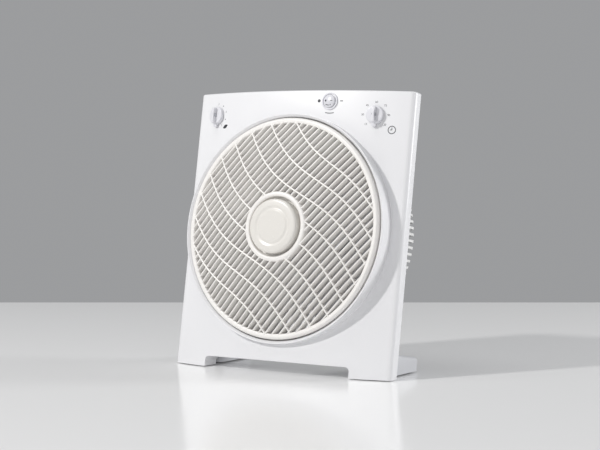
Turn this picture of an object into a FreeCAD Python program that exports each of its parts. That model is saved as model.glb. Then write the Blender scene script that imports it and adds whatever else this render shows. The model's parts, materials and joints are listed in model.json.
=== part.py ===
import FreeCAD, Part
import math
import os

# A 30 cm box fan that stands on two front legs and two swivelling rear feet.
# Millimetres.  The fan is drawn upright: X to the right, Y to the back, Z up, with Y = 0 on the plane
# through the front casing's two side edges and Z = 0 at the legs.  place() then leans it back.

# ---- driving dimensions ---------------------------------------------------------------------------
LEAN = 9.8            # degrees that the whole fan leans back on its feet
PANEL_W = 371.5       # front casing, width over the flanges
PANEL_H = 407.5       # front casing, height
BULGE = 28.0          # how far the front face bows out in front of its side edges
EDGE_R = 8.0          # radius of the front casing's upright edges
TOP_R = 2.5           # radius of its top edge
FLANGE = 10.0         # depth of the straight side flange behind Y = 0
WALL = 2.4            # moulded wall
AXIS_Z = 204.0        # height of the fan's axis
ARCH_W = 248.0        # gap between the two front legs
ARCH_H = 12.0
ARCH_R = 7.0
FIT = 0.3             # gap between moulded parts that nest
GAP = 0.5             # gap beside parts that move
RUN = 0.05            # radial clearance of a shaft in its bore

COLLAR_R = 168.0      # collar around the louvre, outside
COLLAR_IN = 163.6
LIP = 35.2            # collar lip in front of Y = 0
LIP_LAND = 1.2        # flat of the lip
LIP_ROUND = 0.8
BEVEL = 3.2           # depth of the bevel inside the lip

LOUVRE_R = 161.4      # rotating louvre, outside
OPENING_R = 153.4     # inside of its rim
RIM_FRONT = 37.6      # rim in front of Y = 0
DOME = 55.0           # apex of the slats' front surface
DOME_R = 714.0
SLAT_DEEP = 13.0
SLAT_T = 2.0
SLAT_PITCH = 9.0
SLAT_TURN = 48.5      # degrees from horizontal
WAVE = 14.0           # swing of the wavy ribs
WAVE_PITCH = 30.6
WAVE_EACH_SIDE = 4
WAVE_T = 2.0
WAVE_DEEP = 7.0
WAVE_STEPS = 24
RIM_FACE = 5.0        # width of the rim's rounded front
RIM_CROWN = 0.9
RIM_EDGE = 4.0        # depth of its outer rounding
HUB_CREST = 3.2
HUB_RING_R = 51.0
HUB_RING_IN = 43.5
HUB_DISC_T = 3.0
CAP_R = 39.6
CAP_FRONT = 61.0
CAP_GROOVE_R = 26.0
CAP_GROOVE = 1.2      # depth of the groove round its face
CAP_EDGE = 8.0        # width of its rounded edge
CAP_FALL = 0.8        # fall of its face from groove to edge
SPIGOT = 1.5          # what sticks out of the hub disc's face into the cap

SPIDER_BACK = -8.0    # back face of the fixed spider behind the louvre
SPIDER_T = 7.0
SPIDER_ARMS = 4
SPIDER_RING = 4.0     # width of its outer ring
SPIDER_CUP = 2.0      # wall of the cup round the motor
SPIDER_LEDGE = 5.0    # ledge behind the motor
ARM_W = 5.0
DRIVE_R = 25.0        # louvre motor
DRIVE_BACK = -19.0
DRIVE_L = 18.0
DRIVE_SHAFT_R = 3.0
DRIVE_FLANGE_R = 8.0
DRIVE_BOSS_R = 6.0
DRIVE_EDGE_R = 1.5
DRIVE_SEAT = 4.0      # its ears stand this far behind its front
DRIVE_EAR_REACH = 5.0 # from the motor's side to the ear's screw
DRIVE_SHAFT_GRIP = 11.0
EAR_T = 1.5

DUCT_R = 152.0        # air duct, inside
TUB_W = 316.0         # rear housing behind the flange
TUB_LOW = 37.0
TUB_TOP = 396.0
TUB_BACK = 44.0
TUB_R = 12.0
GUARD_BACK = 97.0
GUARD_R = 151.0
GUARD_RIBS = 96
RIB_T = 1.8
RIB_DEEP = 4.0
GUARD_RINGS = (84.0, 118.0)
PLATE_R = 50.0        # centre plate that carries the motor
PLATE_T = 3.0
GUARD_SCREW_R = 160.5  # ring of the guard's four screws
TUB_EDGE_R = 5.0
GUARD_FLANGE = 5.0    # guard's flange outside the ribs
GUARD_EAR_R = 6.0
RING_T = 2.0          # the guard's two face rings
HOOP_T = 3.0          # the hoop half way down its side
KNIT = 1.0            # how far ribs run into what they join

BLADES = 5
BLADE_TURN = 23.0     # degrees, centre of the first blade
TIP_GAP = 5.0
BLADE_FRONT = 9.0
BLADE_DEEP = 33.0
BLADE_T = 2.6
BLADE_SHARE = 0.80    # share of the circle that the blades cover
BLADE_SAG = 5.3       # bow of a blade's section
BLADE_PAST = 16.0     # how far the loft runs past the tip circle, before it is trimmed
HUB_R = 56.0
HUB_FRONT = 16.0
HUB_EDGE_R = 6.0
HUB_BOSS_R = 10.0
MOTOR_CLEAR = 2.0     # from the impeller's boss to the motor
NUT_R = 13.0
NUT_L = 10.0
NUT_RIM = 3.0
HUB_DEEP = 30.0
SHAFT_R = 4.0
MOTOR_R = 42.0
MOTOR_FRONT = 38.0
MOTOR_L = 54.0
MOTOR_WALL = 2.0
ROTOR_R = 22.0
AIR_GAP = 0.4
STATOR_L = 20.0
BEARING_R = 8.0
BEARING_L = 8.0
BEARING_IN = 1.0      # bearing behind the motor's end face
BEARING_SEAT = 2.0    # wall round a bearing
COIL_L = 7.0          # coil ends beyond the core
COIL_CLEAR = 3.0      # between rotor and coil ends
COIL_EDGE_R = 2.0
ROTOR_SPARE = 2.0     # rotor beyond the core
MOTOR_EDGE_R = 4.0
VENTS = 12
VENT_R = 2.6
VENT_AT = 26.0
MOTOR_BOSS_L = 7.0
MOTOR_PCD = 60.0

KNOB_R = 13.5
KNOB_H = 5.0
GRIP_H = 15.0         # top of the grip over the panel
GRIP_W = 6.0
POINTER_R = 18.0
SPINDLE_R = 3.0
SPINDLE_GAP = 1.0     # round a spindle where it passes the panel
SPINDLE_GRIP = 4.0    # how far a spindle goes into the knob's grip
KNOB_EDGE_R = 1.5
GRIP_EDGE_R = 1.2
GRIP_SHORT = 2.5      # the grip stops this far inside the dial
SPEED_AT = (-147.0, 373.0)
TIMER_AT = (130.0, 372.0)
ROCKER_AT = (57.0, 391.0)
SPEED_BODY = (26.0, 26.0, 12.0)
TIMER_BODY = (34.0, 34.0, 26.0)
ROCKER_BODY = (17.0, 17.0, 15.0)
BODY_EDGE_R = 1.5     # edges of the closed electrical bodies
ROCKER_R = 10.1
ROCKER_TILT = 6.0
BEZEL_R = 12.8
BEZEL_LIP = 0.8
BEZEL_PROUD = 1.6
BEZEL_DEEP = 4.0
PIN_R = 1.5
PIN_IN = 1.3          # how far the pin's ends go into the bezel, past the gap round the button
BUTTON_R = 9.5
BUTTON_FRONT = 4.2    # crown of the button in front of the panel
BUTTON_BACK = 4.0
BUTTON_CROWN = 22.0   # radius of its crown
STEM = (10.0, 6.0)    # the part of the rocker that works the switch
STEM_IN = 0.6
SWITCH_WALL = 1.5

FOOT_X = 146.5        # a rear foot, with its swivel stub at STUB_Y
FOOT_Y = 36.0
FOOT_R = 23.0
FOOT_END = 113.0      # back end of the foot
FOOT_EDGE = 5.0       # rounding of its top edge
STUB_R = 5.5
STUB_Y = 34.0
STUB_L = 16.0
STUB_WALL = 3.0       # wall of the boss around the stub
PAD_T = 2.0
PAD_INSET = 9.0
LEG_PAD = (40.0, 10.0)
LEG_PAD_T = 1.2
WASHER_R = 7.2
WASHER_T = 1.2
END_PLAY = 0.6        # lift of a foot's washer off its boss

HANDLE_W = 116.0
HANDLE_Z = (366.0, 386.0)
HANDLE_DEEP = 36.0
HANDLE_T = 11.0
HANDLE_EDGE_R = 2.5

CAPACITOR = (24.0, 18.0, 30.0)
CAPACITOR_Z = 78.0
TERMINAL = (36.0, 13.0, 16.0)
TERMINAL_AT = (122.0, 68.0)
GLAND_AT = (-128.0, 62.0)
GLAND_R = 6.0
LEAD_R = 3.4          # hole for the supply lead
GLAND_COLLAR = 2.5    # collar and nut beyond the sleeve
GLAND_T = 3.5

SCREW_R = 1.8
HEAD_R = 3.6
HEAD_H = 2.2
SLOT_W = 0.6          # cross slot in the head
POST_WALL = 1.0       # wall of a screw post beyond the head
CASING_SCREW_L = 12.0
GUARD_SCREW_L = 12.0
MOTOR_SCREW_L = 11.0
HANDLE_SCREW_L = 12.0
DRIVE_SCREW_L = 10.0
FOOT_SCREW_L = 9.0
THREAD_SPARE = 1.0    # depth of a blind hole past its screw
PAST = 1.0            # how far a cutting tool passes the face it cuts
CASING_SCREWS = ((-171.0, 46.0), (171.0, 46.0), (-171.0, 362.0), (171.0, 362.0))

NEAR = 0.01           # two edges this close lie in one plane

V = FreeCAD.Vector
BACKWARD = V(0, 1, 0)
UP = V(0, 0, 1)
CENTRE = V(0, 0, AXIS_Z)


# ---- helpers --------------------------------------------------------------------------------------
def box(x0, x1, y0, y1, z0, z1):
    return Part.makeBox(x1 - x0, y1 - y0, z1 - z0, V(x0, y0, z0))


def rod(radius, y0, y1, x=0.0, z=AXIS_Z):
    """A round bar along Y."""
    return Part.makeCylinder(radius, y1 - y0, V(x, y0, z), BACKWARD)


def tube(outer, inner, y0, y1, x=0.0, z=AXIS_Z):
    return rod(outer, y0, y1, x, z).cut(rod(inner, y0 - 1, y1 + 1, x, z))


def post(radius, z0, z1, x, y):
    """A round bar along Z."""
    return Part.makeCylinder(radius, z1 - z0, V(x, y, z0), UP)


def closed_wire(path, lift=0.0):
    """A closed wire at height lift.  An item is a point (x, y), or (x_mid, y_mid, x, y) for an arc."""
    edges = []
    here = V(path[0][0], path[0][1], lift)
    for item in path[1:] + path[:1]:
        there = V(item[-2], item[-1], lift)
        if len(item) == 4:
            edges.append(Part.Arc(here, V(item[0], item[1], lift), there).toShape())
        else:
            edges.append(Part.makeLine(here, there))
        here = there
    return Part.Wire(edges)


def turned(path):
    """Turns a profile of (radius, y) points, arcs as in closed_wire, about the fan's axis."""
    face = Part.Face(closed_wire(path, AXIS_Z))
    return face.revolve(CENTRE, BACKWARD, 360)


def rounded_bar(x0, x1, z0, z1, y0, y1, radius):
    """A bar along Y whose section is a rectangle with rounded corners."""
    block = box(x0, x1, y0, y1, z0, z1)
    edges = [e for e in block.Edges if abs(e.tangentAt(e.FirstParameter).y) > 0.9]
    return block.makeFillet(radius, edges)


def around(shape, count, start=0.0):
    """Copies of a shape spaced evenly about the fan's axis."""
    copies = []
    for i in range(count):
        copy = shape.copy()
        copy.rotate(CENTRE, V(0, -1, 0), start + 360.0 * i / count)
        copies.append(copy)
    return copies


def union(shapes):
    return shapes[0].multiFuse(shapes[1:]).removeSplitter()


def screw(x, z, head_y, length, step=1):
    """A pan-head screw along Y.  step is 1 when it points to the back, -1 to the front."""
    y_head = sorted((head_y - step * HEAD_H, head_y))
    y_shank = sorted((head_y, head_y + step * length))
    shank = rod(SCREW_R, y_shank[0], y_shank[1], x, z)
    head = rod(HEAD_R, y_head[0], y_head[1], x, z)
    outer_y = head_y - step * HEAD_H
    slot_y = sorted((outer_y, outer_y + step * HEAD_H / 2))
    long, short = HEAD_R * 0.6, SLOT_W / 2
    for wide, tall in ((long, short), (short, long)):
        head = head.cut(box(x - wide, x + wide, slot_y[0], slot_y[1], z - tall, z + tall))
    return head.fuse(shank)


# ---- shape of the front casing --------------------------------------------------------------------
def crown_radius():
    """Radius of the long arc that runs smoothly into the two edge arcs."""
    half = PANEL_W / 2 - EDGE_R
    return (half**2 + BULGE**2 - EDGE_R**2) / (2 * (BULGE - EDGE_R))


def panel_y(x):
    """Y of the front face at x, between the edge arcs."""
    radius = crown_radius()
    return radius - BULGE - math.sqrt(radius**2 - x**2)


def panel_slope(x):
    """Degrees that the front face turns from straight ahead at x."""
    return math.degrees(math.asin(x / crown_radius()))


def panel_profile(inset, back):
    """The front casing seen from above, inset all round, running back to y = back."""
    big = crown_radius()
    centre_y = big - BULGE
    corner_x = PANEL_W / 2 - EDGE_R
    turn = math.atan2(corner_x, centre_y)
    middle = (turn + math.pi / 2) / 2
    small = EDGE_R - inset
    tangent = ((big - inset) * math.sin(turn), centre_y - (big - inset) * math.cos(turn))
    bend = (corner_x + small * math.sin(middle), -small * math.cos(middle))
    side = corner_x + small
    return [(side, back), (side, 0.0),
            (bend[0], bend[1], tangent[0], tangent[1]),
            (0.0, centre_y - big + inset, -tangent[0], tangent[1]),
            (-bend[0], bend[1], -side, 0.0),
            (-side, back)]


def floor_block(raised):
    """Everything below the floor, or below a plane raised over it."""
    block = box(-PANEL_W, PANEL_W, -PANEL_W, PANEL_W, -PANEL_W, raised)
    block.rotate(V(0, 0, 0), V(1, 0, 0), LEAN)
    block.translate(V(0, FLANGE, 0))
    return block


def panel_block(inset, back):
    """Solid block inside the front casing's outline, inset all round, legs and arch included."""
    low = -BULGE
    face = Part.Face(closed_wire(panel_profile(inset, back), low))
    block = face.extrude(V(0, 0, PANEL_H - inset - low))
    arch = rounded_bar(-ARCH_W / 2 - inset, ARCH_W / 2 + inset, 4 * low, ARCH_H + inset,
                       4 * low, -4 * low, ARCH_R + inset)
    return block, arch


def control_frame(shape, at):
    """Moves a control drawn at the origin, front towards -Y, onto the front face."""
    x, z = at
    moved = shape.copy()
    moved.rotate(V(0, 0, 0), UP, panel_slope(x))
    moved.translate(V(x, panel_y(x), z))
    return moved


def front_casing():
    outer, arch = panel_block(0.0, FLANGE)
    top_edges = [e for e in outer.Edges if e.BoundBox.ZMin > PANEL_H - 1 and e.BoundBox.YMin < FLANGE - 1]
    outer = outer.makeFillet(TOP_R, top_edges).cut(arch).cut(floor_block(LEG_PAD_T))
    inner, inner_arch = panel_block(WALL, FLANGE + 1)
    inner = inner.cut(inner_arch).cut(floor_block(LEG_PAD_T + WALL))
    shell = outer.cut(inner)
    collar_back = FLANGE - WALL - FIT
    bend = LIP_ROUND * (1 - math.sqrt(0.5))
    collar = turned([(COLLAR_IN, collar_back), (COLLAR_R, collar_back), (COLLAR_R, -LIP + LIP_ROUND),
                     (COLLAR_R - bend, -LIP + bend, COLLAR_R - LIP_ROUND, -LIP),
                     (COLLAR_R - LIP_LAND, -LIP), (COLLAR_IN, -LIP + BEVEL)])
    posts = []
    for x, z in CASING_SCREWS:
        posts.append(rod(HEAD_R + POST_WALL, panel_y(x) + WALL / 2, collar_back, x, z))
    shell = union([shell, collar] + posts)
    shell = shell.cut(rod(COLLAR_IN, -LIP * 2, FLANGE * 2))
    for x, z in CASING_SCREWS:
        shell = shell.cut(rod(SCREW_R, FLANGE - CASING_SCREW_L, FLANGE + PAST, x, z))
    hole = Part.makeCylinder(SPINDLE_R + SPINDLE_GAP, 6 * WALL, V(0, -3 * WALL, 0), BACKWARD)
    for at in (SPEED_AT, TIMER_AT):
        shell = shell.cut(control_frame(hole, at))
    window = Part.makeCylinder(BEZEL_R - BEZEL_LIP, 6 * WALL, V(0, -3 * WALL, 0), BACKWARD)
    return shell.cut(control_frame(window, ROCKER_AT))


# ---- rear shells ----------------------------------------------------------------------------------
def rear_housing():
    plate_front = FLANGE - WALL
    plate, arch = panel_block(WALL + FIT, FLANGE)
    plate = plate.cut(arch).cut(floor_block(LEG_PAD_T + WALL + FIT))
    plate = plate.common(box(-PANEL_W, PANEL_W, plate_front, FLANGE, -BULGE, PANEL_H))
    half = TUB_W / 2
    tub = rounded_bar(-half, half, TUB_LOW, TUB_TOP, plate_front, TUB_BACK, TUB_R)
    rear_edges = [e for e in tub.Edges if e.BoundBox.YMin > TUB_BACK - NEAR]
    tub = tub.makeFillet(TUB_EDGE_R, rear_edges)
    pockets = rounded_bar(-half + WALL, half - WALL, TUB_LOW + WALL, TUB_TOP - WALL,
                          plate_front - PAST, TUB_BACK - WALL, TUB_R - WALL)
    duct = rod(DUCT_R + WALL, FLANGE, TUB_BACK).fuse(rod(COLLAR_R, plate_front - 2 * PAST, FLANGE))
    shell = plate.fuse(tub).cut(pockets.cut(duct))
    shell = shell.cut(rod(DUCT_R, 0, TUB_BACK + PAST))
    for side in (-1, 1):
        shell = shell.fuse(post(STUB_R + STUB_WALL, TUB_LOW, TUB_LOW + STUB_L, side * FOOT_X, STUB_Y))
    for side in (-1, 1):
        x = side * FOOT_X
        shell = shell.cut(post(STUB_R + RUN, TUB_LOW - PAST, TUB_LOW + STUB_L + PAST, x, STUB_Y))
    for x, z in CASING_SCREWS:
        shell = shell.cut(rod(SCREW_R + FIT, 0, FLANGE + PAST, x, z))
    for x, z in guard_screw_places():
        deep = GUARD_SCREW_L - WALL + THREAD_SPARE
        shell = shell.fuse(rod(HEAD_R + POST_WALL, TUB_BACK - deep - WALL, TUB_BACK - WALL / 2, x, z))
        shell = shell.cut(rod(SCREW_R, TUB_BACK - deep, TUB_BACK + PAST, x, z))
    for x in handle_screw_places():
        shell = shell.cut(rod(SCREW_R + FIT, TUB_BACK - WALL - PAST, TUB_BACK + PAST, x, handle_mid()))
    gland = rod(GLAND_R, TUB_BACK - WALL - PAST, TUB_BACK + PAST, GLAND_AT[0], GLAND_AT[1])
    return shell.cut(gland).removeSplitter()


def guard_screw_places():
    """Four ears on the guard, in the tub's corners."""
    places = []
    for degrees in (45, 135, 225, 315):
        a = math.radians(degrees)
        places.append((GUARD_SCREW_R * math.cos(a), AXIS_Z + GUARD_SCREW_R * math.sin(a)))
    return places


def rear_guard():
    rib = box(PLATE_R - 2 * KNIT, GUARD_R, GUARD_BACK - RIB_DEEP, GUARD_BACK,
              AXIS_Z - RIB_T / 2, AXIS_Z + RIB_T / 2)
    side = box(GUARD_R - RIB_DEEP, GUARD_R, TUB_BACK + WALL - KNIT, GUARD_BACK,
               AXIS_Z - RIB_T / 2, AXIS_Z + RIB_T / 2)
    one = rib.fuse(side).removeSplitter()
    corner = [e for e in one.Edges if abs(e.BoundBox.XMin - GUARD_R) < NEAR
              and abs(e.BoundBox.YMin - GUARD_BACK) < NEAR]
    one = one.makeFillet(RIB_DEEP * 2, corner)
    inside = GUARD_R - RIB_DEEP + KNIT
    flange = tube(GUARD_R + GUARD_FLANGE, inside, TUB_BACK, TUB_BACK + WALL)
    middle = (TUB_BACK + GUARD_BACK) / 2
    rings = [tube(GUARD_R - KNIT, inside, middle, middle + HOOP_T)]
    for radius in GUARD_RINGS:
        outer, inner = radius + RING_T / 2, radius - RING_T / 2
        rings.append(tube(outer, inner, GUARD_BACK - RIB_DEEP - KNIT, GUARD_BACK - KNIT))
    plate = rod(PLATE_R, GUARD_BACK - PLATE_T, GUARD_BACK)
    plate = plate.cut(union(around(motor_hole(), 4, 45.0)))
    ears = []
    for x, z in guard_screw_places():
        ear = rod(GUARD_EAR_R, TUB_BACK, TUB_BACK + WALL, x, z)
        ears.append(ear.cut(rod(GUARD_R, 0, GUARD_BACK)))
    cage = union([plate, flange] + rings + ears + around(one, GUARD_RIBS))
    for x, z in guard_screw_places():
        cage = cage.cut(rod(SCREW_R + FIT, TUB_BACK - PAST, TUB_BACK + WALL + PAST, x, z))
    return cage


def motor_hole():
    return rod(SCREW_R + FIT, GUARD_BACK - PLATE_T - PAST, GUARD_BACK + PAST, MOTOR_PCD / 2)


def handle_mid():
    return (HANDLE_Z[0] + HANDLE_Z[1]) / 2


def handle_screw_places():
    reach = HANDLE_W / 2 - HANDLE_T / 2
    return (-reach, reach)


def carry_handle():
    half = HANDLE_W / 2
    rear = TUB_BACK + HANDLE_DEEP
    inside = rear - HANDLE_T
    bend = HANDLE_T * (1 - math.sqrt(0.5))
    bow = [(-half, TUB_BACK), (-half, inside),
           (-half + bend, rear - bend, -half + HANDLE_T, rear), (half - HANDLE_T, rear),
           (half - bend, rear - bend, half, inside),
           (half, TUB_BACK), (half - HANDLE_T, TUB_BACK), (half - HANDLE_T, inside),
           (-half + HANDLE_T, inside), (-half + HANDLE_T, TUB_BACK)]
    handle = Part.Face(closed_wire(bow, HANDLE_Z[0])).extrude(V(0, 0, HANDLE_Z[1] - HANDLE_Z[0]))
    rear_edges = [e for e in handle.Edges
                  if abs(e.BoundBox.YMin - rear) < NEAR and e.BoundBox.XLength > HANDLE_T]
    handle = handle.makeFillet(HANDLE_EDGE_R, rear_edges)
    for x in handle_screw_places():
        deep = HANDLE_SCREW_L - WALL + THREAD_SPARE
        handle = handle.cut(rod(SCREW_R, TUB_BACK - PAST, TUB_BACK + deep, x, handle_mid()))
    return handle


# ---- rotating louvre and its drive ----------------------------------------------------------------
def dome_y(radius, apex):
    """Y of a dome surface at a radius from the axis."""
    return -(apex - (DOME_R - math.sqrt(DOME_R**2 - radius**2)))


def dome_shell(outer, inner, apex, deep):
    """The space between two parallel domes, between two radii."""
    mid = (outer + inner) / 2
    return turned([(inner, dome_y(inner, apex)), (mid, dome_y(mid, apex), outer, dome_y(outer, apex)),
                   (outer, dome_y(outer, apex - deep)),
                   (mid, dome_y(mid, apex - deep), inner, dome_y(inner, apex - deep))])


def wavy_rib(start):
    """One rib across the slats: straight at the rim, swinging once each way between."""
    points = []
    reach = math.sqrt(OPENING_R**2 - start**2) + 2 * PAST
    swing = WAVE * (1 - (start / OPENING_R)**2)
    for i in range(WAVE_STEPS + 1):
        v = -reach + 2 * reach * i / WAVE_STEPS
        points.append(V(start - swing * math.sin(math.pi * v / reach), -DOME - PAST, v))
    sides = []
    for shift in (-WAVE_T / 2, WAVE_T / 2):
        curve = Part.BSplineCurve()
        curve.interpolate([p + V(shift, 0, 0) for p in points])
        sides.append(curve.toShape())
    ends = [Part.makeLine(sides[0].Vertexes[k].Point, sides[1].Vertexes[k].Point) for k in (0, 1)]
    wire = Part.Wire(Part.__sortEdges__(sides + ends))
    rib = Part.Face(wire).extrude(V(0, DOME + PAST + dome_y(OPENING_R, DOME - WAVE_DEEP), 0))
    rib.translate(CENTRE)
    return rib


def louvre_grille():
    half = SLAT_T / 2
    across = int((OPENING_R - SLAT_PITCH / 2) / SLAT_PITCH)
    bars = []
    for k in range(-across - 1, across + 1):
        v = SLAT_PITCH * (k + 0.5)
        bars.append(box(-LOUVRE_R, LOUVRE_R, -DOME - PAST, 0, AXIS_Z + v - half, AXIS_Z + v + half))
    for k in range(-WAVE_EACH_SIDE, WAVE_EACH_SIDE + 1):
        bars.append(wavy_rib(WAVE_PITCH * k))
    lattice = bars[0].multiFuse(bars[1:])
    lattice = lattice.common(dome_shell(OPENING_R + KNIT, HUB_RING_IN + KNIT, DOME, SLAT_DEEP))
    rim_back = -dome_y(OPENING_R, DOME - SLAT_DEEP)
    rim = turned([(OPENING_R, -rim_back), (OPENING_R, -RIM_FRONT),
                  (OPENING_R + RIM_FACE * 0.6, -RIM_FRONT - RIM_CROWN, OPENING_R + RIM_FACE, -RIM_FRONT),
                  (LOUVRE_R - RIM_CROWN, -RIM_FRONT + RIM_EDGE * 0.35, LOUVRE_R, -RIM_FRONT + RIM_EDGE),
                  (LOUVRE_R, -rim_back)])
    front = -dome_y(HUB_RING_R, DOME)
    crest = (HUB_RING_IN + HUB_RING_R) / 2
    deep = -dome_y(HUB_RING_R, DOME - SLAT_DEEP)
    disc = deep + HUB_DISC_T
    shoulder = -front - 1.2 + HUB_CREST
    hub = turned([(0.0, -deep), (HUB_RING_R, -deep), (HUB_RING_R, shoulder),
                  (crest, shoulder - HUB_CREST, HUB_RING_IN, shoulder),
                  (HUB_RING_IN, -disc), (0.0, -disc)])
    grille = union([rim, hub] + lattice.Solids)
    grille.rotate(CENTRE, V(0, -1, 0), SLAT_TURN)
    return grille.cut(rod(DRIVE_SHAFT_R, -disc - PAST, -deep + PAST))


def hub_disc_front():
    return dome_y(HUB_RING_R, DOME - SLAT_DEEP) - HUB_DISC_T


def hub_cap():
    back = hub_disc_front()
    bend = CAP_EDGE * (1 - math.sqrt(0.5))
    lip = CAP_GROOVE * 2.5
    return turned([(0.0, back - SPIGOT), (CAP_R - 5, back - SPIGOT), (CAP_R - 5, back), (CAP_R, back),
                   (CAP_R, -CAP_FRONT + CAP_EDGE),
                   (CAP_R - bend, -CAP_FRONT + bend + CAP_FALL / 3, CAP_R - CAP_EDGE, -CAP_FRONT + CAP_FALL),
                   (CAP_GROOVE_R + lip, -CAP_FRONT + CAP_FALL / 3),
                   (CAP_GROOVE_R, -CAP_FRONT + CAP_GROOVE, CAP_GROOVE_R - lip, -CAP_FRONT),
                   (0.0, -CAP_FRONT)])


def louvre_shaft():
    front = hub_disc_front()
    back = front + HUB_DISC_T + DRIVE_SHAFT_GRIP
    flange = rod(DRIVE_FLANGE_R, front - SPIGOT, front)
    return rod(DRIVE_SHAFT_R, front - SPIGOT, back).fuse(flange)


def louvre_motor():
    front = DRIVE_BACK - DRIVE_L
    can = rod(DRIVE_R, front, DRIVE_BACK)
    can = can.makeFillet(DRIVE_EDGE_R, [e for e in can.Edges if e.BoundBox.YMax < front + NEAR])
    shaft_back = hub_disc_front() + HUB_DISC_T + DRIVE_SHAFT_GRIP
    boss = rod(DRIVE_BOSS_R, front - EAR_T, front)
    seat = front + DRIVE_SEAT
    reach = DRIVE_R + DRIVE_EAR_REACH + HEAD_R
    ears = rounded_bar(-reach, reach, AXIS_Z - HEAD_R, AXIS_Z + HEAD_R, seat - EAR_T, seat, HEAD_R * 0.97)
    for x in spider_screw_places():
        ears = ears.cut(rod(SCREW_R + FIT, seat - EAR_T - PAST, seat + PAST, x))
    return union([can, boss, ears]).cut(rod(DRIVE_SHAFT_R + RUN, front - EAR_T - PAST, shaft_back + GAP))


def louvre_spider():
    front = SPIDER_BACK - SPIDER_T
    seat = DRIVE_BACK - DRIVE_L + DRIVE_SEAT
    ring = tube(COLLAR_IN, COLLAR_IN - SPIDER_RING, front, SPIDER_BACK)
    cup = rod(DRIVE_R + FIT + SPIDER_CUP, seat, SPIDER_BACK)
    arm = box(DRIVE_R, COLLAR_IN - SPIDER_RING / 2, front, SPIDER_BACK,
              AXIS_Z - ARM_W / 2, AXIS_Z + ARM_W / 2)
    ears = []
    for x in spider_screw_places():
        ears.append(rod(HEAD_R + POST_WALL, seat, SPIDER_BACK, x))
    spider = union([ring, cup] + around(arm, SPIDER_ARMS, SLAT_TURN) + ears)
    spider = spider.cut(rod(DRIVE_R + FIT, seat - PAST, DRIVE_BACK))
    for x in spider_screw_places():
        spider = spider.cut(rod(SCREW_R, seat - PAST, seat + DRIVE_SCREW_L, x))
    return spider.cut(rod(DRIVE_R - SPIDER_LEDGE, DRIVE_BACK - PAST, 0))


def spider_screw_places():
    reach = DRIVE_R + DRIVE_EAR_REACH
    return (-reach, reach)


# ---- impeller and its motor -----------------------------------------------------------------------
def blade():
    """One blade: thin bowed sections from the hub outwards, trimmed to the tip circle."""
    tip = DUCT_R - TIP_GAP
    wires = []
    for radius in (HUB_R - HUB_EDGE_R, (HUB_R + tip) / 2, tip + BLADE_PAST):
        reach = min(radius, tip) * math.pi / BLADES * BLADE_SHARE
        low, high = BLADE_FRONT, BLADE_FRONT + BLADE_DEEP - BLADE_T
        bow = (BLADE_SAG * 0.7, (low + high) / 2 - BLADE_SAG)
        section = closed_wire([(-reach, low), (bow[0], bow[1], reach, high), (reach, high + BLADE_T),
                               (bow[0], bow[1] + BLADE_T, -reach, low + BLADE_T)])
        section.translate(CENTRE + V(0, 0, radius))
        wires.append(section)
    paddle = Part.makeLoft(wires, True, True)
    return paddle.common(rod(tip, 0, GUARD_BACK))


def impeller():
    cup_back = HUB_FRONT + HUB_DEEP
    bend = HUB_EDGE_R * (1 - math.sqrt(0.5))
    inner_edge = HUB_EDGE_R - WALL
    inner_bend = WALL + inner_edge * (1 - math.sqrt(0.5))
    cup = turned([(0.0, HUB_FRONT), (HUB_R - HUB_EDGE_R, HUB_FRONT),
                  (HUB_R - bend, HUB_FRONT + bend, HUB_R, HUB_FRONT + HUB_EDGE_R),
                  (HUB_R, cup_back), (HUB_R - WALL, cup_back), (HUB_R - WALL, HUB_FRONT + HUB_EDGE_R),
                  (HUB_R - inner_bend, HUB_FRONT + inner_bend, HUB_R - HUB_EDGE_R, HUB_FRONT + WALL),
                  (0.0, HUB_FRONT + WALL)])
    boss = rod(HUB_BOSS_R, HUB_FRONT, MOTOR_FRONT - MOTOR_CLEAR)
    wheel = union([cup.cut(rod(SHAFT_R, 0, GUARD_BACK)), boss.cut(rod(SHAFT_R, 0, GUARD_BACK))])
    keep_out = rod(HUB_R - WALL / 2, 0, GUARD_BACK)
    paddles = around(blade().cut(keep_out), BLADES, BLADE_TURN - 90)
    return union([wheel] + paddles)


def motor_shaft():
    return rod(SHAFT_R, HUB_FRONT - NUT_L * 0.8, MOTOR_FRONT + MOTOR_L - BEARING_IN)


def impeller_nut():
    tip = HUB_FRONT - NUT_L
    return turned([(SHAFT_R, HUB_FRONT), (NUT_R, HUB_FRONT), (NUT_R, HUB_FRONT - NUT_RIM),
                   (NUT_R - NUT_RIM, tip + NUT_RIM * 0.7, SHAFT_R + NUT_RIM * 0.7, tip), (SHAFT_R, tip)])


def stator_front():
    return MOTOR_FRONT + (MOTOR_L - STATOR_L) / 2


def rotor():
    return tube(ROTOR_R, SHAFT_R, stator_front() - ROTOR_SPARE, stator_front() + STATOR_L + ROTOR_SPARE)


def stator_core():
    return tube(MOTOR_R - MOTOR_WALL, ROTOR_R + AIR_GAP, stator_front(), stator_front() + STATOR_L)


def stator_windings():
    """The coil ends, one ring each side of the core."""
    rings = []
    for y in (stator_front() - COIL_L, stator_front() + STATOR_L):
        ring = tube(MOTOR_R - MOTOR_WALL - 2 * COIL_EDGE_R, ROTOR_R + COIL_CLEAR, y, y + COIL_L)
        rings.append(ring.makeFillet(COIL_EDGE_R, [e for e in ring.Edges if abs(e.BoundBox.YLength) < NEAR]))
    return Part.Compound(rings)


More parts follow.
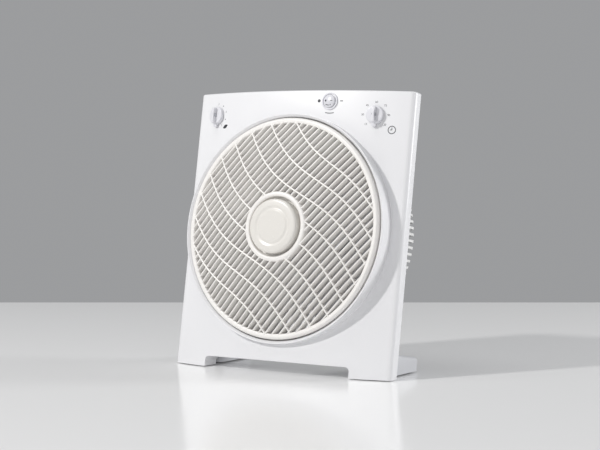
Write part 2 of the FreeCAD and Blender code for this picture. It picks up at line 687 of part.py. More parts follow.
def motor_shell(front):
    """Front or rear pressed cover, with a seat for its bearing."""
    middle = MOTOR_FRONT + MOTOR_L / 2
    end = MOTOR_FRONT if front else MOTOR_FRONT + MOTOR_L
    inward = 1 if front else -1
    y0, y1 = sorted((end, middle))
    cover = rod(MOTOR_R, y0, y1)
    rim = [e for e in cover.Edges if abs(e.BoundBox.YMin - end) < NEAR and abs(e.BoundBox.YMax - end) < NEAR]
    cover = cover.makeFillet(MOTOR_EDGE_R, rim)
    inside = rod(MOTOR_R - MOTOR_WALL, MOTOR_FRONT + MOTOR_WALL, MOTOR_FRONT + MOTOR_L - MOTOR_WALL)
    seat_y = sorted((end, end + inward * (BEARING_L + BEARING_IN)))
    cover = cover.cut(inside).fuse(rod(BEARING_R + BEARING_SEAT, seat_y[0], seat_y[1]))
    vent_y = sorted((end - inward * PAST, end + inward * 2 * MOTOR_WALL))
    cover = cover.cut(union(around(rod(VENT_R, vent_y[0], vent_y[1], VENT_AT), VENTS, 180.0 / VENTS)))
    bearing = rod(BEARING_R, seat_y[0] + inward * BEARING_IN, seat_y[1] + inward * BEARING_IN)
    cover = cover.cut(bearing).cut(rod(SHAFT_R + GAP, 0, GUARD_BACK))
    if front:
        return cover.removeSplitter()
    for x, z in motor_screw_places():
        boss = rod(SCREW_R + BEARING_SEAT, end - MOTOR_BOSS_L, end, x, z)
        cover = cover.fuse(boss).cut(rod(SCREW_R, end - MOTOR_BOSS_L - PAST, end + PAST, x, z))
    spacer = tube(BEARING_R + BEARING_SEAT, SHAFT_R + GAP, end, GUARD_BACK - PLATE_T)
    return cover.fuse(spacer).removeSplitter()


def motor_screw_places():
    places = []
    for degrees in (45, 135, 225, 315):
        a = math.radians(degrees)
        places.append((MOTOR_PCD / 2 * math.cos(a), AXIS_Z + MOTOR_PCD / 2 * math.sin(a)))
    return places


def shaft_bearings():
    """Two sintered sleeves that the motor shaft runs in."""
    first = MOTOR_FRONT + BEARING_IN
    last = MOTOR_FRONT + MOTOR_L - BEARING_IN - BEARING_L
    return Part.Compound([tube(BEARING_R, SHAFT_R + RUN, y, y + BEARING_L) for y in (first, last)])


def motor_spacers():
    """Four bushes between the motor and the guard's centre plate."""
    y0, y1 = MOTOR_FRONT + MOTOR_L, GUARD_BACK - PLATE_T
    bushes = [tube(SCREW_R + BEARING_SEAT, SCREW_R + FIT, y0, y1, x, z) for x, z in motor_screw_places()]
    return Part.Compound(bushes)


# ---- controls -------------------------------------------------------------------------------------
def knob():
    """A dial with a raised grip bar that ends in a pointer at the bottom."""
    dial = Part.makeCylinder(KNOB_R, KNOB_H, V(0, -GAP, 0), V(0, -1, 0))
    dial = dial.makeFillet(KNOB_EDGE_R, [e for e in dial.Edges if e.BoundBox.YMax < -GAP - KNOB_H + NEAR])
    half = GRIP_W / 2
    top = KNOB_R - GRIP_SHORT
    bar = [(-half, -POINTER_R + half), (0.0, -POINTER_R, half, -POINTER_R + half),
           (half, top - half), (0.0, top, -half, top - half)]
    grip = Part.Face(closed_wire(bar)).extrude(V(0, 0, GRIP_H - GAP))
    grip = grip.makeFillet(GRIP_EDGE_R, [e for e in grip.Edges if e.BoundBox.ZMin > GRIP_H - GAP - NEAR])
    grip.rotate(V(0, 0, 0), V(1, 0, 0), 90)
    grip.translate(V(0, -GAP, 0))
    body = dial.fuse(grip)
    socket = Part.makeCylinder(SPINDLE_R, KNOB_H + SPINDLE_GRIP + GAP, V(0, 0, 0), V(0, -1, 0))
    return body.cut(socket)


def spindle(body_deep):
    """Shaft from inside the switch body to inside the knob."""
    length = KNOB_H + SPINDLE_GRIP + GAP + WALL + body_deep / 2
    return Part.makeCylinder(SPINDLE_R, length, V(0, WALL + body_deep / 2, 0), V(0, -1, 0))


def control_body(size):
    """Rectangular switch or timer body behind the panel, bored for its spindle."""
    wide, tall, deep = size
    front = WALL + GAP
    body = box(-wide / 2, wide / 2, front, front + deep, -tall / 2, tall / 2)
    upright = [e for e in body.Edges if abs(e.tangentAt(e.FirstParameter).y) > 0.9]
    body = body.makeFillet(BODY_EDGE_R, upright)
    bore = Part.makeCylinder(SPINDLE_R + RUN, deep / 2 + WALL, V(0, WALL - GAP, 0), BACKWARD)
    return body.cut(bore)


def rocker_bezel():
    """Round frame that clips into the panel and carries the rocker's pin."""
    y0, y1 = -BEZEL_PROUD, WALL + BEZEL_DEEP
    ring = Part.makeCylinder(BEZEL_R - BEZEL_LIP, y1 - y0, V(0, y0, 0), BACKWARD)
    lip = Part.makeCylinder(BEZEL_R, BEZEL_PROUD, V(0, y0, 0), BACKWARD)
    lip = lip.makeFillet(BEZEL_LIP * 0.9, [e for e in lip.Edges if e.BoundBox.YMax < y0 + NEAR])
    bore = Part.makeCylinder(ROCKER_R + GAP, y1 - y0 + 2 * PAST, V(0, y0 - PAST, 0), BACKWARD)
    pivot = post(PIN_R + RUN, -BEZEL_R * 2, BEZEL_R * 2, 0, WALL)
    return ring.fuse(lip).cut(bore).cut(pivot)


def rotation_rocker():
    """Round rocker button on an upright pin, resting tipped to one side."""
    crown = Part.makeSphere(BUTTON_CROWN, V(0, BUTTON_CROWN - BUTTON_FRONT, 0))
    button = Part.makeCylinder(BUTTON_R, BUTTON_FRONT + BUTTON_BACK, V(0, -BUTTON_FRONT, 0), BACKWARD)
    wide, tall = STEM
    stem = box(-wide / 2, wide / 2, BUTTON_BACK - PAST, WALL + BEZEL_DEEP + STEM_IN, -tall / 2, tall / 2)
    pin_end = ROCKER_R + PIN_IN
    rocker = union([button.common(crown), stem, post(PIN_R, -pin_end, pin_end, 0, WALL)])
    rocker.rotate(V(0, WALL, 0), UP, -ROCKER_TILT)
    return rocker


def rocker_switch():
    wide, tall, deep = ROCKER_BODY
    front = WALL + BEZEL_DEEP
    body = box(-wide / 2, wide / 2, front, front + deep, -tall / 2, tall / 2)
    across, up = wide / 2 - SWITCH_WALL, tall / 2 - SWITCH_WALL
    return body.cut(box(-across, across, front - PAST, front + deep / 3, -up, up))


# ---- feet and pads --------------------------------------------------------------------------------
def foot_outline(side, inset):
    """The foot seen from above: straight sides between two round ends."""
    x0 = side * FOOT_X
    radius = FOOT_R - inset
    back_y = FOOT_END - FOOT_R
    return [(x0 - radius, FOOT_Y), (x0, FOOT_Y - radius, x0 + radius, FOOT_Y),
            (x0 + radius, back_y), (x0, back_y + radius, x0 - radius, back_y)]


def foot(side):
    """A swivelling foot: rounded paddle with a wedge sole that lies on the floor."""
    top = TUB_LOW - GAP
    x0 = side * FOOT_X
    paddle = Part.Face(closed_wire(foot_outline(side, 0.0), 0.0)).extrude(V(0, 0, top))
    rim = [e for e in paddle.Edges if e.BoundBox.ZMin > top - NEAR]
    paddle = paddle.makeFillet(FOOT_EDGE, rim).cut(floor_block(PAD_T))
    end = TUB_LOW + STUB_L + END_PLAY
    paddle = paddle.fuse(post(STUB_R, top - FOOT_EDGE, end, x0, STUB_Y))
    pilot = post(SCREW_R, end - FOOT_SCREW_L - THREAD_SPARE, end + PAST, x0, STUB_Y)
    return paddle.cut(pilot).removeSplitter()


def foot_pad(side):
    """Rubber sole under the foot."""
    sole = Part.Face(closed_wire(foot_outline(side, PAD_INSET), -BULGE)).extrude(V(0, 0, 3 * BULGE))
    return sole.common(floor_block(PAD_T)).cut(floor_block(0.0))


def foot_screw(side):
    """Screw and washer that keep the foot's stub in the housing."""
    x, y = side * FOOT_X, STUB_Y
    seat = TUB_LOW + STUB_L + END_PLAY
    washer = post(WASHER_R, seat, seat + WASHER_T, x, y)
    head = post(HEAD_R, seat + WASHER_T, seat + WASHER_T + HEAD_H, x, y)
    shank = post(SCREW_R, seat - FOOT_SCREW_L, seat, x, y)
    return union([washer, head, shank])


def leg_pads():
    """Two rubber pads under the front legs."""
    pads = []
    wide, deep = LEG_PAD
    middle = (PANEL_W + ARCH_W) / 4
    for side in (-1, 1):
        x = side * middle
        block = box(x - wide / 2, x + wide / 2, FLANGE - deep - WALL, FLANGE - WALL, -BULGE, BULGE)
        pads.append(block.common(floor_block(LEG_PAD_T)).cut(floor_block(0.0)))
    return Part.Compound(pads)


# ---- electrical parts in the housing --------------------------------------------------------------
def motor_capacitor():
    """Run capacitor on the housing's side wall."""
    wall_x = -TUB_W / 2 + WALL
    wide, deep, tall = CAPACITOR
    front = FLANGE + WALL
    block = box(wall_x, wall_x + wide, front, front + deep, CAPACITOR_Z, CAPACITOR_Z + tall)
    return block.makeFillet(BODY_EDGE_R, block.Edges)


def terminal_block():
    """Three-way screw terminal on the housing's rear wall."""
    x, z = TERMINAL_AT
    wide, deep, tall = TERMINAL
    back = TUB_BACK - WALL
    block = box(x - wide / 2, x + wide / 2, back - deep, back, z - tall / 2, z + tall / 2)
    for k in (-1, 0, 1):
        block = block.cut(rod(wide / 12, back - deep - PAST, back - deep / 2, x + k * wide / 3, z))
    return block


def cord_gland():
    """Bush in the rear wall that the supply lead would pass through."""
    x, z = GLAND_AT
    sleeve = rod(GLAND_R, TUB_BACK - WALL, TUB_BACK, x, z)
    collar = rod(GLAND_R + GLAND_COLLAR, TUB_BACK, TUB_BACK + GLAND_T, x, z)
    nut = rod(GLAND_R + GLAND_COLLAR, TUB_BACK - WALL - GLAND_T, TUB_BACK - WALL, x, z)
    return union([sleeve, collar, nut]).cut(rod(LEAD_R, 0, GUARD_BACK, x, z))


# ---- fasteners ------------------------------------------------------------------------------------
def casing_screws():
    return Part.Compound([screw(x, z, FLANGE, CASING_SCREW_L, -1) for x, z in CASING_SCREWS])


def guard_screws():
    head_y = TUB_BACK + WALL
    return Part.Compound([screw(x, z, head_y, GUARD_SCREW_L, -1) for x, z in guard_screw_places()])


def motor_screws():
    return Part.Compound([screw(x, z, GUARD_BACK, MOTOR_SCREW_L, -1) for x, z in motor_screw_places()])


def handle_screws():
    head_y = TUB_BACK - WALL
    return Part.Compound([screw(x, handle_mid(), head_y, HANDLE_SCREW_L) for x in handle_screw_places()])


def drive_screws():
    seat = DRIVE_BACK - DRIVE_L + DRIVE_SEAT - EAR_T
    return Part.Compound([screw(x, AXIS_Z, seat, DRIVE_SCREW_L) for x in spider_screw_places()])


# ---- assembly -------------------------------------------------------------------------------------
def place(shape):
    """Leans the upright fan back and puts the origin under its middle, on the floor."""
    placed = shape.copy()
    placed.rotate(V(0, 0, 0), V(1, 0, 0), -LEAN)
    return placed


def parts():
    nodes = {
        "front_casing": front_casing(),
        "rear_housing": rear_housing(),
        "rear_guard": rear_guard(),
        "carry_handle": carry_handle(),
        "louvre_grille": louvre_grille(),
        "hub_cap": hub_cap(),
        "louvre_shaft": louvre_shaft(),
        "louvre_motor": louvre_motor(),
        "louvre_spider": louvre_spider(),
        "impeller": impeller(),
        "impeller_nut": impeller_nut(),
        "motor_shaft": motor_shaft(),
        "rotor": rotor(),
        "stator_core": stator_core(),
        "stator_windings": stator_windings(),
        "motor_front_shell": motor_shell(True),
        "motor_rear_shell": motor_shell(False),
        "shaft_bearings": shaft_bearings(),
        "motor_spacers": motor_spacers(),
        "speed_knob": control_frame(knob(), SPEED_AT),
        "speed_spindle": control_frame(spindle(SPEED_BODY[2]), SPEED_AT),
        "speed_switch": control_frame(control_body(SPEED_BODY), SPEED_AT),
        "timer_knob": control_frame(knob(), TIMER_AT),
        "timer_spindle": control_frame(spindle(TIMER_BODY[2]), TIMER_AT),
        "timer_unit": control_frame(control_body(TIMER_BODY), TIMER_AT),
        "rocker_bezel": control_frame(rocker_bezel(), ROCKER_AT),
        "rotation_rocker": control_frame(rotation_rocker(), ROCKER_AT),
        "rocker_switch": control_frame(rocker_switch(), ROCKER_AT),
        "motor_capacitor": motor_capacitor(),
        "terminal_block": terminal_block(),
        "cord_gland": cord_gland(),
        "leg_pads": leg_pads(),
        "casing_screws": casing_screws(),
        "guard_screws": guard_screws(),
        "motor_screws": motor_screws(),
        "handle_screws": handle_screws(),
        "drive_screws": drive_screws(),
    }
    for name, side in (("left", -1), ("right", 1)):
        nodes[name + "_foot"] = foot(side)
        nodes[name + "_foot_pad"] = foot_pad(side)
        nodes[name + "_foot_screw"] = foot_screw(side)
    return nodes


def main():
    os.makedirs("parts", exist_ok=True)
    leaned = {name: place(shape) for name, shape in parts().items()}
    box_all = Part.Compound(list(leaned.values())).optimalBoundingBox(False)
    shift = V(-box_all.Center.x, -box_all.Center.y, -box_all.ZMin)
    for name, shape in leaned.items():
        shape.translate(shift)
        shape.exportStep("parts/" + name + ".step")
    print("shift", shift, "size", box_all.XLength, box_all.YLength, box_all.ZLength)


main()
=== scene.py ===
# %% [markdown]
# # A 30 cm box fan
#
# The fan is a bowed white casing that leans back on two rear feet.  A round louvre turns slowly in its
# front, an impeller blows through it, and a ribbed guard closes the back.  The engineering model gives
# every size and every axis, so this script only adds what the eye wants: rounded mouldings, real
# thicknesses, printed marks and the finish of each plastic and metal.

# %% Load the frame
import ast
import json
import math
import bmesh
import bpy
from mathutils import Matrix, Vector


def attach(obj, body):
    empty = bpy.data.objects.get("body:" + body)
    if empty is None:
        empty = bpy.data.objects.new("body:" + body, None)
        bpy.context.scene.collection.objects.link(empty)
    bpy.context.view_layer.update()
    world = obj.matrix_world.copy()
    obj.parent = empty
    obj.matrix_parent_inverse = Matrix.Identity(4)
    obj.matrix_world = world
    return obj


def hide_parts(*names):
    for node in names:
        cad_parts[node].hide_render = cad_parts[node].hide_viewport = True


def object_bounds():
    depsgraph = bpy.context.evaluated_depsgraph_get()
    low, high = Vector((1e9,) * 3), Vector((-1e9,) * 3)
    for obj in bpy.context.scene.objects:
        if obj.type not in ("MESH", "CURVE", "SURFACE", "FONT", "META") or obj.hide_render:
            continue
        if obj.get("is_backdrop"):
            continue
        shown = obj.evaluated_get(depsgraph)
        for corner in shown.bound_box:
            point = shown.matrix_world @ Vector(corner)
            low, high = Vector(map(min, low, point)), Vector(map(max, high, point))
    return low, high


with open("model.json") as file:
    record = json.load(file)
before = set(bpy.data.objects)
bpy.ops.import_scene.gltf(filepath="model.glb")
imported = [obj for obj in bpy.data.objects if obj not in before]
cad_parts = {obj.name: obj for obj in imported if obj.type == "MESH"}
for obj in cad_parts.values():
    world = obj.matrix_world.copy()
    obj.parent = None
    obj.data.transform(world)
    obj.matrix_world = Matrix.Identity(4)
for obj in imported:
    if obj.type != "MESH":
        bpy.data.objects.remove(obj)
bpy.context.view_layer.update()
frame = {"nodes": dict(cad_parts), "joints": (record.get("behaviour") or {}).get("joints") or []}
scene = bpy.context.scene
nodes = frame["nodes"]

# %% [markdown]
# ## Where things are
#
# The whole fan leans, so it is easiest to draw it upright and lean it afterwards.  Two helper frames do
# that, both in millimetres with the origin on the spin axis.  `FAN` has X to the right, Y to the back and
# Z up the casing.  `FACE` looks at the louvre: X to the right, Y up, and Z out towards the viewer, which
# suits everything round.  Both come from the louvre's joint, so they follow the model.

# %% Helper frames
joints = {joint["name"]: joint for joint in frame["joints"]}
spin = Vector(joints["louvre_spin"]["axis"])
middle = Vector(joints["louvre_spin"]["pos_m"])
lean = math.atan2(spin.z, -spin.y)
MM = 0.001
UPRIGHT = Matrix.Rotation(math.pi / 2, 4, "X")      # turns what lies flat to face the viewer
FAN = Matrix.Translation(middle) @ Matrix.Rotation(-lean, 4, "X") @ Matrix.Scale(MM, 4)
FACE = FAN @ UPRIGHT
print("lean", round(math.degrees(lean), 2), "degrees, axis", round(middle.z / MM, 1), "mm up")


def in_fan(node):
    """Lowest and highest corners of a CAD node in the FAN frame, in mm."""
    inverse = FAN.inverted()
    spots = [inverse @ vertex.co for vertex in nodes[node].data.vertices]
    low = Vector([min(spot[i] for spot in spots) for i in range(3)])
    high = Vector([max(spot[i] for spot in spots) for i in range(3)])
    return low, high


# %% Driving sizes, in millimetres
casing_low, casing_high = in_fan("front_casing")
PANEL_W = casing_high.x - casing_low.x
PANEL_H = 407.5         # casing, along its face
EDGE_R = 8.0            # upright edges of the casing
TOP_R = 2.5             # its top edge
BULGE = 28.0            # how far its face bows out
FLANGE = 10.0           # depth of its straight sides
WALL = 2.4
LEG_PAD_T = 1.2
ARCH_W, ARCH_H, ARCH_R = 248.0, 12.0, 7.0
COLLAR_R, COLLAR_IN, LIP, BEVEL = 168.0, 163.6, 35.2, 3.2
LOUVRE_R, OPENING_R, RIM_FRONT = 161.4, 153.4, 37.6
DOME, DOME_R = 55.0, 714.0
SLAT_T, SLAT_DEEP, SLAT_PITCH, SLAT_TURN = 2.0, 13.0, 9.0, 48.5
WAVE, WAVE_PITCH, WAVE_RIBS, WAVE_DEEP = 14.0, 30.6, 9, 7.0
HUB_RING_R, HUB_RING_IN, HUB_DISC_T = 51.0, 43.5, 3.0
CAP_R, CAP_FRONT, CAP_GROOVE_R = 39.6, 61.0, 26.0
GUARD_R, GUARD_BACK, GUARD_RIBS = 151.0, 97.0, 96
RIB_T, RIB_DEEP = 1.8, 4.0
TUB_BACK = 44.0
PLATE_R, PLATE_T = 50.0, 3.0
HUB_R, HUB_FRONT, HUB_DEEP, TIP_R = 56.0, 16.0, 30.0, 147.0
BLADES, BLADE_TURN, BLADE_SHARE = 5, 23.0, 0.80
BLADE_FRONT, BLADE_DEEP, BLADE_T, BLADE_SAG = 9.0, 33.0, 2.6, 5.3
print("casing", [round(v, 1) for v in casing_high - casing_low])

# %% [markdown]
# ## Small tools
#
# `add` puts one node in a tree, sets it up and links it.  `formula` turns a line of arithmetic into Math
# nodes, so a tree reads like the rule it draws.  `grown` runs a finished tree and keeps its result as a
# plain mesh.  `lathe` turns an outline about the axis, and `rounded` softens an outline's corners first,
# because no moulded edge is sharp.

# %% Node helpers
OPERATIONS = {ast.Add: "ADD", ast.Sub: "SUBTRACT", ast.Mult: "MULTIPLY", ast.Div: "DIVIDE"}


def add(tree, kind, inputs=None, **settings):
    """Adds a node.  An input takes a value, an output to link from, or a node for its first output."""
    made = tree.nodes.new(kind)
    for name, value in settings.items():
        setattr(made, name, value)
    for name, values in (inputs or {}).items():
        for value in values if isinstance(values, list) else [values]:
            if isinstance(value, bpy.types.Node):
                value = value.outputs[0]
            if isinstance(value, bpy.types.NodeSocket):
                tree.links.new(value, made.inputs[name])
            else:
                made.inputs[name].default_value = value
    return made


def formula(tree, text, **known):
    """Builds a formula such as "sqrt(r*r - v*v)" from Math nodes and returns the last one."""
    def walk(part):
        if isinstance(part, ast.Constant):
            return float(part.value)
        if isinstance(part, ast.Name):
            return known[part.id]
        if isinstance(part, ast.BinOp):
            kind, parts = OPERATIONS[type(part.op)], (part.left, part.right)
        else:
            kind, parts = part.func.id.upper(), part.args
        return add(tree, "ShaderNodeMath", dict(enumerate(walk(p) for p in parts)), operation=kind)
    return walk(ast.parse(text).body[0].value)


def new_tree(name, **sizes):
    """A Geometry Nodes tree with these named inputs and a Material input, and the same for formulas."""
    tree = bpy.data.node_groups.new(name, "GeometryNodeTree")
    for label, value in sizes.items():
        kind = "NodeSocketInt" if isinstance(value, int) else "NodeSocketFloat"
        tree.interface.new_socket(label, in_out="INPUT", socket_type=kind).default_value = value
    tree.interface.new_socket("Material", in_out="INPUT", socket_type="NodeSocketMaterial")
    tree.interface.new_socket("Geometry", in_out="OUTPUT", socket_type="NodeSocketGeometry")
    given = tree.nodes.new("NodeGroupInput").outputs
    return tree, given, {label.lower(): given[label] for label in sizes}


def end_tree(tree, given, geometry):
    """Every tree ends the same way: realize the instances and set the material."""
    real = add(tree, "GeometryNodeRealizeInstances", {"Geometry": geometry})
    coloured = add(tree, "GeometryNodeSetMaterial", {"Geometry": real, "Material": given["Material"]})
    add(tree, "NodeGroupOutput", {0: coloured})


def moved(tree, geometry, x, y, z):
    """Puts every point where three values say."""
    place = add(tree, "ShaderNodeCombineXYZ", {"X": x, "Y": y, "Z": z})
    return add(tree, "GeometryNodeSetPosition", {"Geometry": geometry, "Position": place})


def swept(tree, path, wide, tall, corner):
    """A bar with a rounded section along a curve."""
    section = add(tree, "GeometryNodeCurvePrimitiveQuadrilateral", {"Width": wide, "Height": tall})
    section = add(tree, "GeometryNodeFilletCurve", {"Curve": section, "Count": 2, "Radius": corner},
                  mode="POLY")
    return add(tree, "GeometryNodeCurveToMesh", {"Curve": path, "Profile Curve": section, "Fill Caps": True})


def around(tree, shape, count, turn):
    """Copies of a shape, each turned about the axis."""
    spots = add(tree, "GeometryNodePoints", {"Count": count})
    turn = add(tree, "ShaderNodeCombineXYZ", {"Z": turn})
    return add(tree, "GeometryNodeInstanceOnPoints", {"Points": spots, "Instance": shape, "Rotation": turn})


def linked(name, data):
    """A new object with this data, in the scene."""
    thing = bpy.data.objects.new(name, data)
    scene.collection.objects.link(thing)
    return thing


def evaluated(piece):
    """The plain mesh that a piece's modifiers, or its text, come to."""
    bpy.context.view_layer.update()
    return bpy.data.meshes.new_from_object(piece.evaluated_get(bpy.context.evaluated_depsgraph_get()))


def smoothed(mesh, angle):
    """Smooth shading, except at edges sharper than angle."""
    mesh.polygons.foreach_set("use_smooth", [True] * len(mesh.polygons))
    mesh.set_sharp_from_angle(angle=math.radians(angle))


def shown(name, mesh, angle=35.0):
    """Puts a mesh in the scene as a smooth piece at the origin."""
    smoothed(mesh, angle)
    return linked(name, mesh)


def grown(name, tree, material, place, **sizes):
    """Runs a tree with these sizes and returns its result as a plain mesh, moved to its place."""
    seed = linked(name, bpy.data.meshes.new(name))
    modifier = seed.modifiers.new(name, "NODES")
    modifier.node_group = tree
    values = dict(sizes, Material=material)
    for item in tree.interface.items_tree:
        if item.in_out == "INPUT" and item.name in values:
            modifier[item.identifier] = values[item.name]
    mesh = evaluated(seed)
    bpy.data.objects.remove(seed)
    mesh.transform(place)
    return mesh


# %% Mesh helpers
def arc(centre, radius, first, last, steps):
    """Points on an arc, from one angle to another in degrees."""
    spots = []
    for i in range(steps + 1):
        a = math.radians(first + (last - first) * i / steps)
        spots.append((centre[0] + radius * math.cos(a), centre[1] + radius * math.sin(a)))
    return spots


def rounded(outline, radius, steps=4):
    """A closed outline with each corner replaced by an arc.  A third value in a point is its own radius."""
    done = []
    count = len(outline)
    for i, corner in enumerate(outline):
        here = Vector(corner[:2])
        before = Vector(outline[i - 1][:2]) - here
        after = Vector(outline[(i + 1) % count][:2]) - here
        want = corner[2] if len(corner) > 2 else radius
        half = before.angle(after) / 2
        if want <= 0 or half > 1.55:
            done.append(tuple(here))
            continue
        cut = min(want / math.tan(half), 0.45 * before.length, 0.45 * after.length)
        start, end = here + before.normalized() * cut, here + after.normalized() * cut
        for k in range(steps + 1):
            t = k / steps
            spot = start * (1 - t) ** 2 + here * 2 * t * (1 - t) + end * t * t
            done.append(tuple(spot))
    return done


def finish_mesh(name, work, material, place=None, outwards=True):
    """Turns bmesh work into a mesh at its place, its faces turned outwards."""
    if outwards:
        bmesh.ops.recalc_face_normals(work, faces=work.faces)
    mesh = bpy.data.meshes.new(name)
    work.to_mesh(mesh)
    work.free()
    mesh.materials.append(material)
    if place is not None:
        mesh.transform(place)
    return mesh


def lathe(name, outline, material, steps=192, place=FACE):
    """Turns a closed outline of (radius, out) points about the axis.  A radius of 0 closes on the axis."""
    work = bmesh.new()
    rings = []
    for radius, out in outline:
        if radius < 1e-4:
            rings.append([work.verts.new((0.0, 0.0, out))])
            continue
        ring = []
        for i in range(steps):
            a = 2 * math.pi * i / steps
            ring.append(work.verts.new((radius * math.cos(a), radius * math.sin(a), out)))
        rings.append(ring)
    for k, ring in enumerate(rings):
        other = rings[(k + 1) % len(rings)]
        if len(ring) == 1 and len(other) == 1:
            continue
        for i in range(steps):
            j = (i + 1) % steps
            corners = [ring[i % len(ring)], ring[j % len(ring)], other[j % len(other)], other[i % len(other)]]
            work.faces.new(list(dict.fromkeys(corners)))
    return finish_mesh(name, work, material, place)


def joined(name, meshes, angle=35.0):
    """One piece from several meshes that share a body."""
    parts = [shown(name + "_" + str(i), mesh, angle) for i, mesh in enumerate(meshes)]
    bpy.ops.object.select_all(action="DESELECT")
    for part in parts:
        part.select_set(True)
    bpy.context.view_layer.objects.active = parts[0]
    bpy.ops.object.join()
    parts[0].name = name
    parts[0].data.name = name
    print(name, len(parts[0].data.polygons), "faces")
    return parts[0]


def merged_copy(node, name, material, angle=35.0):
    """A CAD node's mesh with its loose triangles welded, so that its curves can be shaded smoothly."""
    work = bmesh.new()
    work.from_mesh(nodes[node].data)
    bmesh.ops.remove_doubles(work, verts=work.verts, dist=2e-6)
    bmesh.ops.dissolve_degenerate(work, edges=work.edges, dist=1e-7)
    mesh = finish_mesh(name, work, material, outwards=False)
    mesh.polygons.foreach_set("material_index", [0] * len(mesh.polygons))
    return shown(name, mesh, angle)


def settle(piece, body, slot, *replaced):
    """Hangs the piece on its body and hides the CAD nodes it stands for.  The slot is not used."""
    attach(piece, body)
    if replaced:
        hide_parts(*replaced)


# %% [markdown]
# ## Finishes
#
# Nearly everything is white plastic, so the small differences matter: a polished casing, a warmer louvre,
# a creamier cap, a duller housing.  Moulded plastic takes its surface from the mould.  A polished mould
# leaves a faint long ripple, and a spark-eroded one leaves a fine even grain.  Both are noise that reads
# Object coordinates, with its scale worked out from a size in millimetres.

# %% Colour and moulded plastic
def srgb(text):
    """A hex colour as a designer writes it, turned to the linear light that shaders use."""
    values = []
    for i in (0, 2, 4):
        c = int(text[i:i + 2], 16) / 255
        values.append(c / 12.92 if c <= 0.04045 else ((c + 0.055) / 1.055) ** 2.4)
    return (*values, 1.0)


def new_material(name, **surface):
    """An empty material with a Principled shader whose plain sockets are set here."""
    material = bpy.data.materials.new(name)
    material.use_nodes = True
    shader = material.node_tree.nodes["Principled BSDF"]
    for label, value in surface.items():
        shader.inputs[label.replace("_", " ")].default_value = value
    return material, material.node_tree, shader


def clouded(name, light, dark, cloud_mm, detail, surface):
    """A material whose colour drifts between two close tones, in clouds of a real size."""
    material, tree, shader = new_material(name, **surface)
    where = add(tree, "ShaderNodeTexCoord").outputs["Object"]
    cloud = add(tree, "ShaderNodeTexNoise", {"Vector": where, "Scale": 1 / (cloud_mm * MM), "Detail": detail})
    tone = add(tree, "ShaderNodeMix", {0: cloud, 6: srgb(dark), 7: srgb(light)}, data_type="RGBA")
    tree.links.new(tone.outputs[2], shader.inputs["Base Color"])
    return material, tree, shader, where, cloud


def surfaced(tree, shader, pattern, smooth, rough, height, strength, depth_mm):
    """Roughness that follows one pattern, and a bump that follows another."""
    gloss = add(tree, "ShaderNodeMapRange", {"Value": pattern, "To Min": smooth, "To Max": rough})
    tree.links.new(gloss.outputs[0], shader.inputs["Roughness"])
    bump = add(tree, "ShaderNodeBump", {"Height": height, "Strength": strength, "Distance": depth_mm * MM})
    tree.links.new(bump.outputs[0], shader.inputs["Normal"])


CLOUD_MM, SPREAD = 60.0, 0.05      # size of a plastic's tone clouds, and how far its roughness strays


def moulded(name, light, dark, grain_mm, grain, roughness, **surface):
    """Moulded plastic: two close tones in soft clouds, and a bump of the mould's grain."""
    material, tree, shader, where, cloud = clouded(name, light, dark, CLOUD_MM, 2.0, surface)
    fine = add(tree, "ShaderNodeTexNoise", {"Vector": where, "Scale": 1 / (grain_mm * MM), "Detail": 3.0,
                                            "Roughness": 0.6})
    surfaced(tree, shader, fine, roughness - SPREAD, roughness + SPREAD, fine, grain, 0.2)
    return material


# ABS from a polished mould: bright, cool white with a soft highlight and hardly any grain.
abs_white = moulded("abs_white_polished", "E9E9EB", "E5E5E7", 1.6, 0.05, 0.34, IOR=1.54)
# The louvre is a thinner moulding of warmer ABS.
abs_warm = moulded("abs_warm_white_satin", "F2F0ED", "EDEAE7", 1.2, 0.06, 0.36, IOR=1.54)
# The cap is a creamier ABS with a clearer shine.
abs_cream = moulded("abs_cream_gloss", "E4E1DC", "E0DDD7", 1.4, 0.03, 0.26, IOR=1.54)
# The housing's mould is spark eroded.  The grain is really about 0.15 mm, drawn at 0.7 mm so that it shows.
abs_spark = moulded("abs_white_spark_texture", "E3E3E5", "DDDDE0", 0.7, 0.35, 0.52, IOR=1.54)
# Polypropylene is a little grey and waxy: the guard and the impeller.
pp_guard = moulded("polypropylene_white", "E4E4E3", "DDDDDC", 1.0, 0.10, 0.44, IOR=1.49)
pp_blade = moulded("polypropylene_pale_grey", "D9DADD", "D2D4D8", 1.5, 0.05, 0.30, IOR=1.49)
# Knobs and rocker: pale cool grey ABS, smooth.
abs_knob = moulded("abs_pale_grey_satin", "E0E0E4", "DBDBE0", 1.0, 0.05, 0.32, IOR=1.54)
abs_rocker = moulded("abs_lavender_grey_satin", "DCDCE1", "D7D7DD", 1.0, 0.05, 0.32, IOR=1.54)
# The rear feet: satin ABS one tone darker than the casing.
abs_foot = moulded("abs_light_grey_satin", "D0D1D4", "C9CACE", 0.8, 0.20, 0.42, IOR=1.54)
# Glass-filled nylon: near black, with a dry grain.
nylon_black = moulded("nylon_black_glass_filled", "2A2A2C", "1F1F21", 0.5, 0.30, 0.55, IOR=1.53)
nylon_natural = moulded("nylon_natural", "DAD7CA", "D0CCBD", 0.8, 0.12, 0.45, IOR=1.53)
# Nitrile rubber: dull, dark, slightly dusty.
rubber = moulded("nitrile_rubber_moulded", "3B3B3D", "2C2C2E", 0.6, 0.40, 0.78, IOR=1.52)
# Screen-printed ink: flat dark grey, a touch rougher than the plastic under it.
ink = moulded("screen_ink_dark_grey", "303238", "2A2C32", 0.3, 0.05, 0.48, IOR=1.5)
print("plastics made")

# %% [markdown]
# Metals inside the fan show only through the guard, but a part is looked at from every side.  Zinc plate is
# bright with a faint cloudy passivation, pressed covers are galvanised, the core is a stack of thin sheets,
# and a coil shows its wires.  A stack and a coil are both fine parallel lines, made here with one wave.


